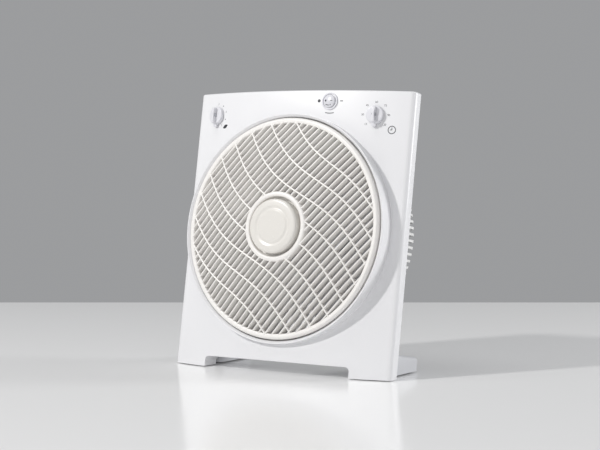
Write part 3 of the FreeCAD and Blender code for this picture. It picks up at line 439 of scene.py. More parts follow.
# %% Metals
def metal(name, light, dark, roughness, cloud_mm, line_mm=0.0, line=0.0, along=(0.0, 0.0, 0.0), **surface):
    """Metal with cloudy tone and roughness, and lines of a real pitch where it is stacked or wound."""
    material, tree, shader, where, cloud = clouded(name, light, dark, cloud_mm, 4.0, surface)
    height = cloud
    if line_mm:
        turned = add(tree, "ShaderNodeMapping", {"Vector": where, "Rotation": along})
        wave = add(tree, "ShaderNodeTexWave", {"Vector": turned, "Distortion": 0.15,
                                               "Scale": math.pi / 10 / (line_mm * MM)}, bands_direction="Y")
        height = wave.outputs[1]
    surfaced(tree, shader, cloud, roughness * 0.8, roughness * 1.25, height, line or 0.06, 0.15)
    return material


LEAN_TURN = (lean, 0.0, 0.0)
zinc = metal("steel_zinc_plated", "C9CBCE", "B4B7BC", 0.28, 1.5, Metallic=1.0)
galvanised = metal("steel_galvanised_pressed", "B9BDC2", "A3A8AE", 0.42, 6.0, Metallic=1.0)
core = metal("steel_sheet_stack", "8A8C90", "6F7175", 0.45, 3.0, 0.9, 0.5, LEAN_TURN, Metallic=1.0)
copper = metal("copper_enamelled_wire", "B4643A", "8F4724", 0.30, 2.0, 0.8, 0.7, LEAN_TURN, Metallic=1.0,
               Coat_Weight=0.6, Coat_Roughness=0.15)
bronze = metal("bronze_sintered_oiled", "A8834F", "8B6A3C", 0.50, 0.4, Metallic=1.0)
print("metals made")

# %% [markdown]
# ## Camera
#
# A long lens, a little right of the fan and just above its middle, looking slightly down.

# %% Camera
camera_data = bpy.data.cameras.new("camera")
camera_data.lens = 102.7
camera_data.sensor_width = 36.0
camera = linked("camera", camera_data)
camera.location = middle + Vector((1.3556, -2.0988, 0.1384))
camera.rotation_euler = (math.radians(90 - 2.973), 0.0, math.radians(32.671))
scene.camera = camera
print("camera", [round(v, 3) for v in camera.location])

# %% [markdown]
# ## Front casing
#
# The casing is a single moulding: a long shallow arc across, a tighter arc at each side edge, a rounded
# top edge, a hollow back, an arch cut under it to leave two legs, and a collar round the louvre.  The
# outline across is a rule, so it is drawn as many narrow upright strips.  Each strip is flat, which lets
# Boolean cuts pass through it cleanly, and neighbours differ by so little that they shade as one curve.


# %% Casing outline
def crown_radius():
    """Radius of the long arc across the casing's face."""
    half = PANEL_W / 2 - EDGE_R
    return (half**2 + BULGE**2 - EDGE_R**2) / (2 * (BULGE - EDGE_R))


def panel_y(x):
    """Depth of the casing's front face at x."""
    big = crown_radius()
    return big - BULGE - math.sqrt(big**2 - x**2)


def casing_outline(inset, back):
    """The casing seen from above, inset all round, from its right back corner round the front."""
    big, corner_x = crown_radius(), PANEL_W / 2 - EDGE_R
    turn = math.degrees(math.atan2(corner_x, big - BULGE))
    small = EDGE_R - inset
    right = arc((corner_x, 0.0), small, 0.0, -90.0 + turn, 8)
    front = arc((0.0, big - BULGE), big - inset, -90.0 + turn, -90.0 - turn, 150)
    left = arc((-corner_x, 0.0), small, -90.0 - turn, -180.0, 8)
    return [(corner_x + small, back)] + right + front[1:-1] + left + [(-corner_x - small, back)]


def stacked(name, rings, material=None):
    """A solid from outlines of equal length at rising heights: [(outline, z), ...]."""
    work = bmesh.new()
    layers = [[work.verts.new((x, y, z)) for x, y in outline] for outline, z in rings]
    count = len(layers[0])
    for low, high in zip(layers, layers[1:]):
        for i in range(count):
            j = (i + 1) % count
            work.faces.new((low[i], low[j], high[j], high[i]))
    work.faces.new(layers[0])
    work.faces.new(layers[-1])
    mesh = finish_mesh(name, work, material or abs_white)
    return shown(name, mesh)


def cut(piece, tool, operation="DIFFERENCE"):
    """Applies one Boolean and removes the tool."""
    modifier = piece.modifiers.new(operation, "BOOLEAN")
    modifier.operation = operation
    modifier.solver = "EXACT"
    modifier.object = tool
    mesh = evaluated(piece)
    piece.modifiers.clear()
    piece.data = mesh
    bpy.data.objects.remove(tool)


def bar_tool(x, y, z, corner=0.0):
    """A block between pairs of limits, its corners rounded when it is seen from the front."""
    outline = rounded([(x[0], z[0]), (x[1], z[0]), (x[1], z[1]), (x[0], z[1])], corner, 8)
    rings = [(outline, -y[1]), (outline, -y[0])]
    tool = stacked("tool", rings)
    tool.data.transform(UPRIGHT)
    return tool


def sole_tool(high):
    """What lies under the tilted soles of the legs, up to a height over the pads."""
    tool = bar_tool((-300, 300), (-300, 300), (-400, high))
    tool.data.transform(Matrix.Translation((0, FLANGE, foot_z + LEG_PAD_T)) @ Matrix.Rotation(lean, 4, "X"))
    return tool


def arch_tool(wall):
    """The arch between the legs, larger all round by a wall."""
    half = ARCH_W / 2 + wall
    return bar_tool((-half, half), (-90, 90), (-400, foot_z + ARCH_H + wall), ARCH_R + wall)


def turned_tool(outline):
    """A turned solid about the axis, as a tool."""
    return shown("tool", lathe("tool", outline, abs_white, 256, UPRIGHT))


# %% Casing
top = casing_high.z
bottom = casing_low.z - 5.0
foot_z = top - PANEL_H            # height of the legs' back edge, under the axis
outer_rings = [(casing_outline(0.0, FLANGE), bottom)]
for step in range(7):
    a = math.pi / 2 * step / 6
    inset = TOP_R * (1 - math.cos(a))
    outer_rings.append((casing_outline(inset, FLANGE), top - TOP_R + TOP_R * math.sin(a)))
casing = stacked("front_casing_shell", outer_rings)
hollow = stacked("tool", [(casing_outline(WALL, FLANGE + 5), bottom - 5),
                          (casing_outline(WALL, FLANGE + 5), top - WALL)])
cut(hollow, arch_tool(WALL))
cut(hollow, sole_tool(WALL))
cut(casing, arch_tool(0.0))
cut(casing, sole_tool(0.0))
cut(casing, hollow)
collar_back = -(FLANGE - WALL - 0.3)
cut(casing, turned_tool(rounded([(COLLAR_IN, collar_back), (COLLAR_R, collar_back), (COLLAR_R, LIP, 1.0),
                                 (COLLAR_R - 1.2, LIP, 0.4), (COLLAR_IN, LIP - BEVEL, 0.5)], 0.0, 5)), "UNION")
cut(casing, turned_tool([(0, 60), (COLLAR_IN, 60), (COLLAR_IN, -60), (0, -60)]))
casing.data.transform(FAN)
smoothed(casing.data, 30)
settle(casing, "casing", "casing_abs", "front_casing")
print("front_casing_shell", len(casing.data.polygons), "faces")

# %% [markdown]
# ## Louvre
#
# The louvre is the fan's face.  Straight slats lie side by side under a shallow dome, and wavy ribs cross
# them: each rib swings once to either side, less towards the rim.  Both are the same thing to a node tree,
# a row of bars across a ring, so one tree draws them with a wave of nothing or of 14 mm.
#
# The tree makes a row of unit lines, bends them by formula, drops what falls inside the hub, and gives the
# rest a rounded section.  A mesh line is used, not a curve, because deleting its points really splits it.

# %% Tree: bars across a ring
tree, given, known = new_tree("bars across a ring", Count=34, Pitch=9.0, Points=100, Radius=153.0, Hub=47.0,
                              Wave=0.0, Apex=55.0, Dome=714.0, Thick=2.0, Deep=13.0, Turn=0.0)
first = add(tree, "ShaderNodeCombineXYZ", {"Y": formula(tree, "pitch*(1-count)/2", **known)})
step = add(tree, "ShaderNodeCombineXYZ", {"Y": given["Pitch"]})
row = add(tree, "GeometryNodeMeshLine", {"Count": given["Count"], "Start Location": first, "Offset": step},
          mode="OFFSET")
unit = add(tree, "GeometryNodeMeshLine", {"Count": given["Points"], "Start Location": (-1, 0, 0),
                                          "Offset": (1, 0, 0)}, mode="END_POINTS")
bars = add(tree, "GeometryNodeInstanceOnPoints", {"Points": row, "Instance": unit})
bars = add(tree, "GeometryNodeRealizeInstances", {"Geometry": bars})
spot = add(tree, "ShaderNodeSeparateXYZ", {0: add(tree, "GeometryNodeInputPosition")})
known.update(t=spot.outputs[0], v=spot.outputs[1])
along = formula(tree, "t*sqrt(radius*radius-v*v)", **known)
across = formula(tree, "v-wave*(1-v*v/(radius*radius))*sine(3.14159265*t)", **known)
out = formula(tree, "apex-dome+sqrt(dome*dome-a*a-b*b)-deep/2", a=along, b=across, **known)
bars = moved(tree, bars, along, across, out)
now = add(tree, "ShaderNodeSeparateXYZ", {0: add(tree, "GeometryNodeInputPosition")})
inside = formula(tree, "less_than(sqrt(x*x+y*y), hub)", x=now.outputs[0], y=now.outputs[1], **known)
bars = add(tree, "GeometryNodeDeleteGeometry", {"Geometry": bars, "Selection": inside})
lines = add(tree, "GeometryNodeMeshToCurve", {"Mesh": bars})
lines = add(tree, "GeometryNodeSetCurveNormal", {"Curve": lines}, mode="Z_UP")
solid = swept(tree, lines, given["Thick"], given["Deep"], 0.8)
turn = add(tree, "ShaderNodeCombineXYZ", {"Z": given["Turn"]})
end_tree(tree, given, add(tree, "GeometryNodeTransform", {"Geometry": solid, "Rotation": turn}))
print("bar tree", len(tree.nodes), "nodes")

# %% Louvre
slat_turn = math.radians(SLAT_TURN)
dome_sizes = {"Radius": OPENING_R + 2.0, "Hub": HUB_RING_IN + 2.0, "Dome": DOME_R, "Apex": DOME}
slats = grown("slats", tree, abs_warm, FACE, Count=34, Pitch=SLAT_PITCH, Points=110, Thick=SLAT_T,
              Deep=SLAT_DEEP, Turn=slat_turn, **dome_sizes)
ribs = grown("ribs", tree, abs_warm, FACE, Count=WAVE_RIBS, Pitch=WAVE_PITCH, Points=140, Thick=2.2,
             Deep=WAVE_DEEP, Wave=-WAVE, Turn=slat_turn + math.pi / 2, **dome_sizes)


def dome_out(radius, deep=0.0):
    """How far out the slats' dome stands at a radius."""
    return DOME - deep - DOME_R + math.sqrt(DOME_R**2 - radius**2)


rim_back = dome_out(OPENING_R, SLAT_DEEP)
rim = lathe("rim", rounded([(OPENING_R, rim_back, 0.6), (OPENING_R, RIM_FRONT, 2.2),
                            (OPENING_R + 5.5, RIM_FRONT + 0.4, 2.6), (LOUVRE_R, RIM_FRONT - 2.6, 2.2),
                            (LOUVRE_R, rim_back, 0.6)], 0.6, 6), abs_warm, 256)
hub_back = dome_out(HUB_RING_R, SLAT_DEEP)
hub_top = dome_out(HUB_RING_R) + 1.2
disc = hub_back + HUB_DISC_T
hub = lathe("hub", rounded([(0, hub_back), (HUB_RING_R, hub_back, 0.6), (HUB_RING_R, hub_top, 3.4),
                            (HUB_RING_IN, hub_top, 3.0), (HUB_RING_IN, disc, 1.5), (0, disc)], 0.0, 6),
            abs_warm, 160)
louvre = joined("louvre_face", [slats, ribs, rim, hub])
settle(louvre, "louvre", "louvre_abs", "louvre_grille")

# %% [markdown]
# The cap is a shallow dish with a wide rounded edge and one soft groove round its face, where a badge
# would sit on many fans.  It is turned on the lathe from a smooth outline.

# %% Hub cap
edge = CAP_FRONT - 0.8
cap = lathe("louvre_cap", rounded([(0, disc), (CAP_R, disc, 0.5), (CAP_R, edge, 8.0),
                                   (CAP_GROOVE_R + 3.6, CAP_FRONT - 0.2, 1.2),
                                   (CAP_GROOVE_R, CAP_FRONT - 1.3, 2.4),
                                   (CAP_GROOVE_R - 3.6, CAP_FRONT, 1.4), (0, CAP_FRONT)], 0.0, 8),
            abs_cream, 160)
cap = shown("louvre_cap", cap, 50)
settle(cap, "louvre", "cap_abs", "hub_cap")
print("louvre_cap", len(cap.data.polygons), "faces")

# %% [markdown]
# ## Rear guard
#
# The guard is a cage of radial ribs.  Each rib leaves the motor plate, runs out to the rim, turns the
# corner and comes forward to a flange on the housing.  One rib is a three-point line with a rounded
# corner and a rounded section, and the tree sets 96 of them round the axis.  Hoops tie them together.

# %% Tree: ribs of a cage
tree, given, known = new_tree("ribs of a cage", Count=96, Inner=48.0, Outer=149.0, Back=84.0, Front=45.0,
                              Corner=10.0, Thick=1.8, Deep=4.0)
line = add(tree, "GeometryNodeMeshLine", {"Count": 3}, mode="OFFSET")
known["i"] = add(tree, "GeometryNodeInputIndex")
radial = formula(tree, "inner+(outer-inner)*minimum(i,1)", **known)
deep = formula(tree, "0-back+(back-front)*maximum(i-1,0)", **known)
path = add(tree, "GeometryNodeMeshToCurve", {"Mesh": moved(tree, line, radial, 0.0, deep)})
path = add(tree, "GeometryNodeFilletCurve", {"Curve": path, "Count": 6, "Radius": given["Corner"]}, mode="POLY")
path = add(tree, "GeometryNodeSetCurveNormal", {"Curve": path}, mode="MINIMUM_TWIST")
rib = swept(tree, path, given["Deep"], given["Thick"], 0.7)
turn = formula(tree, "6.28318531*i/count", **known)
end_tree(tree, given, around(tree, rib, given["Count"], turn))
print("cage tree", len(tree.nodes), "nodes")


# %% Guard
def hoop(radius, out, wide, tall, steps=192):
    """A ring with a rounded rectangular section, centred on a radius."""
    half, high = wide / 2, tall / 2
    return lathe("hoop", rounded([(radius - half, out - high), (radius + half, out - high),
                                  (radius + half, out + high), (radius - half, out + high)], 0.5, 3),
                 pp_guard, steps)


HOOPS, EAR_R, EAR_BORE, SCREW_RING = (84.0, 118.0), 6.0, 2.1, 160.5
cage_ribs = grown("cage", tree, pp_guard, FACE, Count=GUARD_RIBS, Inner=PLATE_R - 2,
                  Outer=GUARD_R - RIB_DEEP / 2, Back=GUARD_BACK - RIB_DEEP / 2, Front=TUB_BACK + 1.4,
                  Corner=8.0, Thick=RIB_T, Deep=RIB_DEEP)
groove = -GUARD_BACK + 0.7
plate = lathe("plate", rounded([(0, -GUARD_BACK + PLATE_T), (PLATE_R, -GUARD_BACK + PLATE_T, 0.6),
                                (PLATE_R, -GUARD_BACK, 1.2), (PLATE_R - 5, -GUARD_BACK, 0.5),
                                (PLATE_R - 5.6, groove, 0.4), (PLATE_R - 8.4, groove, 0.4),
                                (PLATE_R - 9, -GUARD_BACK, 0.5), (12.6, -GUARD_BACK, 0.5),
                                (12, -GUARD_BACK + 0.8, 0.4), (0, -GUARD_BACK + 0.8)], 0.0, 3), pp_guard, 96)
flange_mid = -(TUB_BACK + WALL / 2)
guard_parts = [cage_ribs, plate,
               hoop(GUARD_R + 0.9, flange_mid, 8.2, WALL),
               hoop(GUARD_R - RIB_DEEP / 2, -(TUB_BACK + GUARD_BACK) / 2 - 1.5, 2.2, 3.0),
               *(hoop(radius, -GUARD_BACK + RIB_DEEP, 2.0, 3.6) for radius in HOOPS)]
for k in range(4):
    a = math.radians(45 + 90 * k)
    place = FACE @ Matrix.Translation((SCREW_RING * math.cos(a), SCREW_RING * math.sin(a), 0))
    guard_parts.append(lathe("ear", rounded([(EAR_BORE, flange_mid - WALL / 2), (EAR_R, flange_mid - WALL / 2),
                                             (EAR_R, flange_mid + WALL / 2),
                                             (EAR_BORE, flange_mid + WALL / 2)], 0.4, 3),
                             pp_guard, 32, place))
guard = joined("guard_cage", guard_parts)
settle(guard, "casing", "guard_pp", "rear_guard")

# %% [markdown]
# ## Impeller
#
# Five broad blades stand on a cup that hides the front of the motor.  A blade is a sheet: its angle round
# the axis runs one way, its depth follows it, and it bows towards the back in between.  The tips are
# rounded at both corners.  The tree bends a flat grid by these rules, and the script gives it thickness.

# %% Tree: blades round a hub
tree, given, known = new_tree("blades round a hub", Count=5, Inner=54.0, Outer=147.0, Share=0.8, Front=9.0,
                              Deep=33.0, Sag=5.3, Round=9.0, First=0.0)
sheet = add(tree, "GeometryNodeMeshGrid", {"Size X": 2.0, "Size Y": 1.0, "Vertices X": 41, "Vertices Y": 25})
spot = add(tree, "ShaderNodeSeparateXYZ", {0: add(tree, "GeometryNodeInputPosition")})
known.update(s=spot.outputs[0], f=spot.outputs[1])
known["tip"] = formula(tree, "outer-round*power(absolute(s),8)", **known)
known["reach"] = formula(tree, "inner+(tip-inner)*(f+0.5)", **known)
known["angle"] = formula(tree, "s*share*3.14159265/count", **known)
east = formula(tree, "reach*sine(angle)", **known)
north = formula(tree, "reach*cosine(angle)", **known)
out = formula(tree, "0-front-deep/2-s*deep/2+sag*(1-s*s)", **known)
sheet = moved(tree, sheet, east, north, out)
known["i"] = add(tree, "GeometryNodeInputIndex")
turn = formula(tree, "first+6.28318531*i/count", **known)
end_tree(tree, given, around(tree, sheet, given["Count"], turn))
print("blade tree", len(tree.nodes), "nodes")

# %% Impeller
blade_mesh = grown("blades", tree, pp_blade, FACE, Count=BLADES, Inner=HUB_R - 1.5, Outer=TIP_R,
                   Share=BLADE_SHARE, Front=BLADE_FRONT + BLADE_T / 2, Deep=BLADE_DEEP - BLADE_T,
                   Sag=BLADE_SAG, Round=9.0, First=math.radians(BLADE_TURN - 90))
blade_piece = shown("blades", blade_mesh)
thick = blade_piece.modifiers.new("thick", "SOLIDIFY")
thick.thickness = BLADE_T * MM
thick.offset = 0.0
soft = blade_piece.modifiers.new("soft", "BEVEL")
soft.width = 0.8 * MM
soft.segments = 2
soft.limit_method = "ANGLE"
blade_mesh = evaluated(blade_piece)
bpy.data.objects.remove(blade_piece)
inner_r = HUB_R - WALL
BORE_R, BOSS_R, BOSS_END = 4.02, 10, -31      # of the cup's boss on the shaft
hub_out, hub_in = -HUB_FRONT, -HUB_FRONT - HUB_DEEP
cup = lathe("cup", rounded([(0, hub_out), (HUB_R, hub_out, 6.0), (HUB_R, hub_in, 0.8), (inner_r, hub_in, 0.8),
                            (inner_r, hub_out - WALL, 4.0), (BOSS_R, hub_out - WALL, 1.0),
                            (BOSS_R, BOSS_END, 0.6), (BORE_R, BOSS_END, 0.3), (BORE_R, hub_out - WALL),
                            (0, hub_out - WALL)], 0.0, 6), pp_blade, 128)
impeller = joined("impeller_wheel", [blade_mesh, cup], 40)
settle(impeller, "impeller", "blade_pp", "impeller")

# %% [markdown]
# ## Screws
#
# All the visible screws are one pan-head screw with a cross recess.  The tree domes a short cylinder by
# pushing its outer points back, cuts the cross with a Boolean, adds the shank, and sets a copy on each place.

# %% Tree: pan-head screws
tree, given, known = new_tree("four pan-head screws", Across=92.0, Up=92.0, Head=3.6, Tall=2.2, Cross=4.4,
                              Slot=0.9, Shank=12.0, Thread=1.8)
blank = add(tree, "GeometryNodeMeshCylinder", {"Vertices": 32, "Side Segments": 3, "Fill Segments": 5,
                                               "Radius": given["Head"], "Depth": given["Tall"]})
spot = add(tree, "ShaderNodeSeparateXYZ", {0: add(tree, "GeometryNodeInputPosition")})
known.update(x=spot.outputs[0], y=spot.outputs[1], z=spot.outputs[2])
known["r"] = formula(tree, "sqrt(x*x+y*y)/head", **known)
blank = moved(tree, blank, known["x"], known["y"], formula(tree, "(z+tall/2)*(1-0.45*power(r,4))", **known))
lift = add(tree, "ShaderNodeCombineXYZ", {"Z": given["Tall"]})
slots = []
for long_side, short_side in (("Cross", "Slot"), ("Slot", "Cross")):
    size = add(tree, "ShaderNodeCombineXYZ", {"X": given[long_side], "Y": given[short_side],
                                              "Z": given["Tall"]})
    slot = add(tree, "GeometryNodeMeshCube", {"Size": size})
    slots.append(add(tree, "GeometryNodeTransform", {"Geometry": slot, "Translation": lift}))
head = add(tree, "GeometryNodeMeshBoolean", {"Mesh 1": blank, "Mesh 2": slots}, operation="DIFFERENCE",
           solver="EXACT")
shank = add(tree, "GeometryNodeMeshCylinder", {"Vertices": 16, "Radius": given["Thread"],
                                               "Depth": given["Shank"]})
down = add(tree, "ShaderNodeCombineXYZ", {"Z": formula(tree, "0-shank/2", **known)})
shank = add(tree, "GeometryNodeTransform", {"Geometry": shank, "Translation": down})
whole = add(tree, "GeometryNodeJoinGeometry", {0: [head, shank]})
grid = add(tree, "GeometryNodeMeshGrid", {"Size X": given["Across"], "Size Y": given["Up"],
                                          "Vertices X": 2, "Vertices Y": 2})
end_tree(tree, given, add(tree, "GeometryNodeInstanceOnPoints", {"Points": grid, "Instance": whole}))
print("screw tree", len(tree.nodes), "nodes")

# %% Screws
HEAD_R, HEAD_H, CROSS, SLOT, THREAD = 3.6, 2.2, 4.4, 0.9, 1.8
screw_groups = {"casing_screws": "casing_screw_heads", "guard_screws": "guard_screw_heads",
                "motor_screws": "motor_screw_heads"}
for node_name, piece_name in screw_groups.items():
    low, high = in_fan(node_name)
    seat = Matrix.Translation(((low.x + high.x) / 2, high.y - HEAD_H, (low.z + high.z) / 2))
    heads = grown(piece_name, tree, zinc, FAN @ seat @ Matrix.Rotation(-math.pi / 2, 4, "X"),
                  Across=high.x - low.x - 2 * HEAD_R, Up=high.z - low.z - 2 * HEAD_R, Head=HEAD_R, Tall=HEAD_H,
                  Cross=CROSS, Slot=SLOT, Shank=high.y - HEAD_H - low.y, Thread=THREAD)
    piece = shown(piece_name, heads, 40)
    settle(piece, "casing", "screw_steel", node_name)
    print(piece_name, len(heads.polygons), "faces")

# %% [markdown]
# ## Pieces kept in shape
#
# The housing, handle, rocker, feet and pads have the right shape already.  Their meshes are loose
# triangles, so each is copied, welded and shaded smoothly before it takes its finish.  What sits deep
# inside keeps its CAD mesh and only gets its material.

# %% Welded copies
welded = {
    "rear_housing": ("rear_housing_shell", "casing", "housing_abs", abs_spark),
    "carry_handle": ("carry_handle_bow", "casing", "housing_abs", abs_spark),
    "louvre_spider": ("louvre_spider_arms", "casing", "louvre_abs", abs_warm),
    "rocker_bezel": ("rocker_bezel_ring", "casing", "knob_abs", abs_rocker),
    "cord_gland": ("cord_gland_bush", "casing", "black_nylon", nylon_black),
    "leg_pads": ("leg_pad_pair", "casing", "rubber", rubber),
    "motor_rear_shell": ("motor_rear_cover", "casing", "zinc_steel", galvanised),
    "motor_front_shell": ("motor_front_cover", "casing", "zinc_steel", galvanised),
    "louvre_motor": ("louvre_motor_can", "casing", "zinc_steel", galvanised),
    "impeller_nut": ("impeller_spin_nut", "impeller", "knob_abs", abs_knob),
    "rotation_rocker": ("rotation_rocker_button", "rotation_rocker", "knob_abs", abs_rocker),
    "left_foot": ("left_foot_paddle", "left_foot", "foot_abs", abs_foot),
    "right_foot": ("right_foot_paddle", "right_foot", "foot_abs", abs_foot),
    "left_foot_pad": ("left_foot_sole", "left_foot", "rubber", rubber),
    "right_foot_pad": ("right_foot_sole", "right_foot", "rubber", rubber),
}
for node_name, (piece_name, body, slot, material) in welded.items():
    piece = merged_copy(node_name, piece_name, material)
    settle(piece, body, slot, node_name)
print("welded", len(welded), "nodes")

# %% CAD nodes that keep their mesh
kept = {
    zinc: ("handle_screws", "drive_screws", "louvre_shaft", "motor_shaft", "speed_spindle", "timer_spindle",
           "left_foot_screw", "right_foot_screw"),
    galvanised: ("motor_spacers",),
    core: ("stator_core", "rotor"),
    copper: ("stator_windings",),
    bronze: ("shaft_bearings",),
    nylon_black: ("speed_switch", "timer_unit", "rocker_switch", "motor_capacitor"),
    nylon_natural: ("terminal_block",),
}
for material, names in kept.items():
    for node_name in names:
        nodes[node_name].material_slots[0].material = material
print("kept", sum(len(names) for names in kept.values()), "nodes")

# %% [markdown]
# ## Knobs
#
# A knob is a round dial, a waisted grip across it for two fingers, and a rounded lug under it that points
# at the marks.  The dial is turned on the lathe.  The grip is an outline lofted upwards, drawn in a little
# at the top so that its edge is round.


# %% Knobs
def control_at(joint):
    """Where a control's joint meets the casing's face, as (x, z) in the FAN frame."""
    spot = FAN.inverted() @ Vector(joints[joint]["pos_m"])
    return spot.x, spot.z


def raised(outline, low, high, round_edge, material, place):
    """A flat shape standing from low to high, with a rounded top edge."""
    middle_x = sum(x for x, y in outline) / len(outline)
    middle_y = sum(y for x, y in outline) / len(outline)
    rings = [(outline, low)]
    for k in range(6):
        a = math.pi / 2 * k / 5
        inset = round_edge * (1 - math.cos(a))
        drawn = []
        for x, y in outline:
            away = Vector((x - middle_x, y - middle_y))
            away *= 1 - inset / max(away.length, 1e-6)
            drawn.append((middle_x + away.x, middle_y + away.y))
        rings.append((drawn, high - round_edge + round_edge * math.sin(a)))
    piece = stacked("raised", rings, material)
    mesh = piece.data
    bpy.data.objects.remove(piece)
    mesh.transform(place)
    return mesh


KNOB_R, KNOB_LOW, KNOB_TOP, GRIP_TOP = 13.5, 0.5, 5.4, 11.5
GRIP_W, WAIST_W, LUG_W, LUG_R = 2.9, 1.7, 3.4, 17.6      # half widths, and the lug's reach
for knob, joint in (("speed_knob", "speed_turn"), ("timer_knob", "timer_turn")):
    knob_x, knob_z = control_at(joint)
    lie = (FAN @ Matrix.Translation((knob_x, panel_y(knob_x), knob_z))
           @ Matrix.Rotation(math.asin(knob_x / crown_radius()), 4, "Z") @ UPRIGHT)
    dial = lathe("dial", rounded([(0, KNOB_LOW), (KNOB_R, KNOB_LOW, 0.4), (KNOB_R - 0.6, KNOB_TOP, 1.6),
                                  (0, KNOB_TOP)], 0.0, 6), abs_knob, 96, lie)
    waist = rounded([(-GRIP_W, -11.6), (-WAIST_W, 0.0, 30.0), (-GRIP_W, 11.0), (GRIP_W, 11.0),
                     (WAIST_W, 0.0, 30.0), (GRIP_W, -11.6)], 1.6, 8)
    grip = raised(waist, KNOB_TOP - 0.5, GRIP_TOP, 1.2, abs_knob, lie)
    tab = rounded([(-LUG_W, -9.0), (-LUG_W, -LUG_R), (LUG_W, -LUG_R), (LUG_W, -9.0)], 3.0, 8)
    lug = raised(tab, KNOB_LOW, KNOB_TOP - 0.6, 0.9, abs_knob, lie)
    piece = joined(knob + "_dial", [dial, grip, lug], 40)
    settle(piece, knob, "knob_abs", knob)

# %% [markdown]
# ## Printed marks
#
# The marks are ink, so they are solids only a tenth of a millimetre thick that follow the bowed face.
# They are drawn flat round their control, then each point is moved to the face at its place.  The timer
# has minutes round its dial and a small clock beside it.  The speed dial has three numbers with dots
# between, and a small blade beside it.  The rocker's marks show still, swinging and turning.


# %% Ink helpers
INK_T = 0.12


def flat_solid(outline):
    """Bmesh of a thin solid with this outline, from 0 to 1 in height."""
    work = bmesh.new()
    low = [work.verts.new((x, y, 0.0)) for x, y in outline]
    high = [work.verts.new((x, y, 1.0)) for x, y in outline]
    work.faces.new(low)
    work.faces.new(high)
    for i in range(len(outline)):
        j = (i + 1) % len(outline)
        work.faces.new((low[i], low[j], high[j], high[i]))
    return work


def band(centre, radius, width, first, last, steps=28):
    """Outline of part of a ring."""
    outer = arc(centre, radius + width / 2, first, last, steps)
    inner = arc(centre, radius - width / 2, last, first, steps)
    return outer + inner


def dash(x0, y0, x1, y1, width):
    """Outline of a straight stroke."""
    along = Vector((x1 - x0, y1 - y0)).normalized()
    side = Vector((-along.y, along.x)) * width / 2
    ends = (Vector((x0, y0)), Vector((x1, y1)))
    return [tuple(ends[0] + side), tuple(ends[0] - side), tuple(ends[1] - side), tuple(ends[1] + side)]


def dot(x, y, radius):
    """Thin solid of a round dot."""
    return flat_solid(arc((x, y), radius, 0, 345, 23))


def digits(text, x, y, size):
    """Outlines don't suit digits, so they come from a text object, as a mesh from 0 to 1 in height."""
    label = bpy.data.curves.new("label", "FONT")
    label.body, label.size, label.align_x, label.align_y = text, size, "CENTER", "CENTER"
    label.extrude = 0.5
    holder = linked("label", label)
    mesh = evaluated(holder)
    bpy.data.objects.remove(holder)
    work = bmesh.new()
    work.from_mesh(mesh)
    bmesh.ops.translate(work, verts=work.verts, vec=(x, y, 0.5))
    return work


def on_panel(x, z, lift):
    """A point on the casing's front face, lifted off it."""
    return Vector((x, panel_y(x) - lift, z))


def inked(name, works, at, surface):
    """Wraps flat marks onto a surface round a place and joins them."""
    meshes = []
    for work in works:
        bmesh.ops.remove_doubles(work, verts=work.verts, dist=1e-5)
        for vertex in work.verts:
            a, b, t = vertex.co
            vertex.co = surface(at[0] + a, at[1] + b, INK_T * (t - 0.3))
        meshes.append(finish_mesh(name, work, ink, FAN))
    return joined(name, meshes)


# %% Marks
DIAL_R, SPEED_R = 18.6, 17.6
timer_marks = []
for text, degrees in zip(("15", "30", "45", "60", "75", "90", "120"), range(225, -46, -45)):
    a = math.radians(degrees)
    reach = DIAL_R + 0.5 * len(text) * abs(math.cos(a))
    timer_marks.append(digits(text, reach * math.cos(a), reach * math.sin(a), 4.2))
clock = (26.0, -21.0)
timer_marks.append(flat_solid(band(clock, 5.4, 1.1, 0.0, 359.9, 48)))
timer_marks.append(flat_solid(dash(clock[0], clock[1], clock[0], clock[1] + 3.4, 1.0)))
timer_marks.append(flat_solid(dash(clock[0] + 0.4, clock[1], clock[0] - 2.6, clock[1], 1.0)))

speed_marks = []
for k, degrees in enumerate((-56, -20, 18, 55, 90)):
    a = math.radians(degrees)
    x, y = SPEED_R * math.cos(a), SPEED_R * math.sin(a)
    if k % 2:
        speed_marks.append(dot(x, y, 0.8))
    else:
        speed_marks.append(digits(str(k // 2 + 1), x, y, 4.0))
leaf = [(-4.6, -2.0)] + arc((-1.6, 2.6), 5.6, 237, 312, 8) + [(4.6, 2.0)] + arc((1.6, -2.6), 5.6, 57, 132, 8)
speed_marks.append(flat_solid([(18.0 + x, -17.0 + y) for x, y in leaf]))

rocker_marks = [dot(-17.5, 0.5, 2.3), flat_solid(dash(16.5, 0.5, 21.0, 0.5, 1.2)),
                flat_solid(band((1.0, 13.5), 31.0, 1.1, -103.0, -77.0))]
for name, marks, joint in (("timer_print", timer_marks, "timer_turn"),
                           ("speed_print", speed_marks, "speed_turn"),
                           ("rocker_print", rocker_marks, "rocker_tip")):
    settle(inked(name, marks, control_at(joint), on_panel), "casing", "black_nylon")

# %% Marks on the rocker
BUTTON_CROWN, BUTTON_FRONT, ROCKER_TILT = 22.0, 4.2, 6.0
rock_x, rock_z = control_at("rocker_tip")
slope = math.asin(rock_x / crown_radius())
tilt = Matrix.Translation((0, WALL, 0)) @ Matrix.Rotation(-math.radians(ROCKER_TILT), 4, "Z")
button = (Matrix.Translation((rock_x, panel_y(rock_x), rock_z)) @ Matrix.Rotation(slope, 4, "Z")
          @ tilt @ Matrix.Translation((0, -WALL, 0)))


def on_button(x, z, lift):
    """A point on the rocker's domed face."""
    fall = BUTTON_CROWN - math.sqrt(BUTTON_CROWN**2 - x * x - z * z)
    return button @ Vector((x, -BUTTON_FRONT + fall - lift, z))


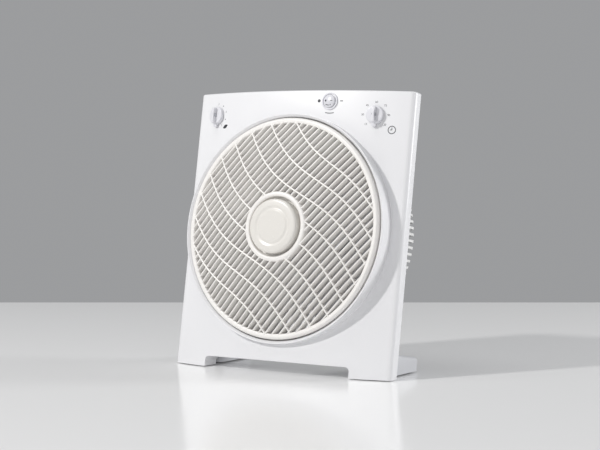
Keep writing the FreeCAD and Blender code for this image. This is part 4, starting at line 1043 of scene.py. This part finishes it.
button_marks = [dot(-4.6, 0.3, 1.5), flat_solid(dash(3.4, 0.3, 6.6, 0.3, 1.0)),
                flat_solid(band((0.0, 3.2), 9.4, 0.9, -118.0, -62.0))]
settle(inked("rocker_button_print", button_marks, (0.0, 0.0), on_button), "rotation_rocker", "black_nylon")

# %% [markdown]
# ## Floor and light
#
# A white glossy table top with plain grey all round it, so that the white casing stands out.  The key
# light is high on the left and in front, small enough to give the dark crescents beside the knobs and
# inside the collar.  A broad weak fill opens the shadows.


# %% Stage
table_top = new_material("table_white_lacquer", Base_Color=srgb("FCFCFC"), Roughness=0.16)[0]
heading = camera.rotation_euler.z
TABLE = 0.98                      # from the fan's middle to the table's edge, in metres
across = Vector((math.cos(heading), math.sin(heading), 0)) * 3.0
along = Vector((-math.sin(heading), math.cos(heading), 0)) * TABLE
table_mesh = bpy.data.meshes.new("table")
table_mesh.from_pydata([-across - along * 2, across - along * 2, across + along, -across + along], [],
                       [(0, 1, 2, 3)])
table_mesh.materials.append(table_top)
linked("table", table_mesh)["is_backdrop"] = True


TARGET = Vector((0.0, 0.0, 0.2))
WHITE, SUN = (1.0, 1.0, 1.0), (1.0, 0.99, 0.975)
for name, place, size, power, colour in (("key", (-1.7, -2.9, 2.5), 0.30, 84.0, SUN),
                                         ("fill", (1.9, -2.7, 0.5), 1.6, 14.0, (1.0, 0.995, 0.99)),
                                         ("top", (-0.4, -0.6, 2.6), 1.2, 11.0, WHITE),
                                         ("side", (2.4, 1.6, 0.9), 0.8, 40.0, WHITE)):
    light = bpy.data.lights.new(name, "AREA")
    light.shape, light.size, light.energy, light.color = "DISK", size, power, colour
    lamp = linked(name, light)
    lamp.location = place
    lamp.rotation_euler = (TARGET - Vector(place)).to_track_quat("-Z", "Y").to_euler()
world = bpy.data.worlds.new("studio")
world.use_nodes = True
world.node_tree.nodes["Background"].inputs["Color"].default_value = srgb("C1C2C4")
world.node_tree.nodes["Background"].inputs["Strength"].default_value = 0.62
scene.world = world
scene.view_settings.view_transform = "Standard"
print("stage ready")

# %% Sizes and finish
low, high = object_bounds()
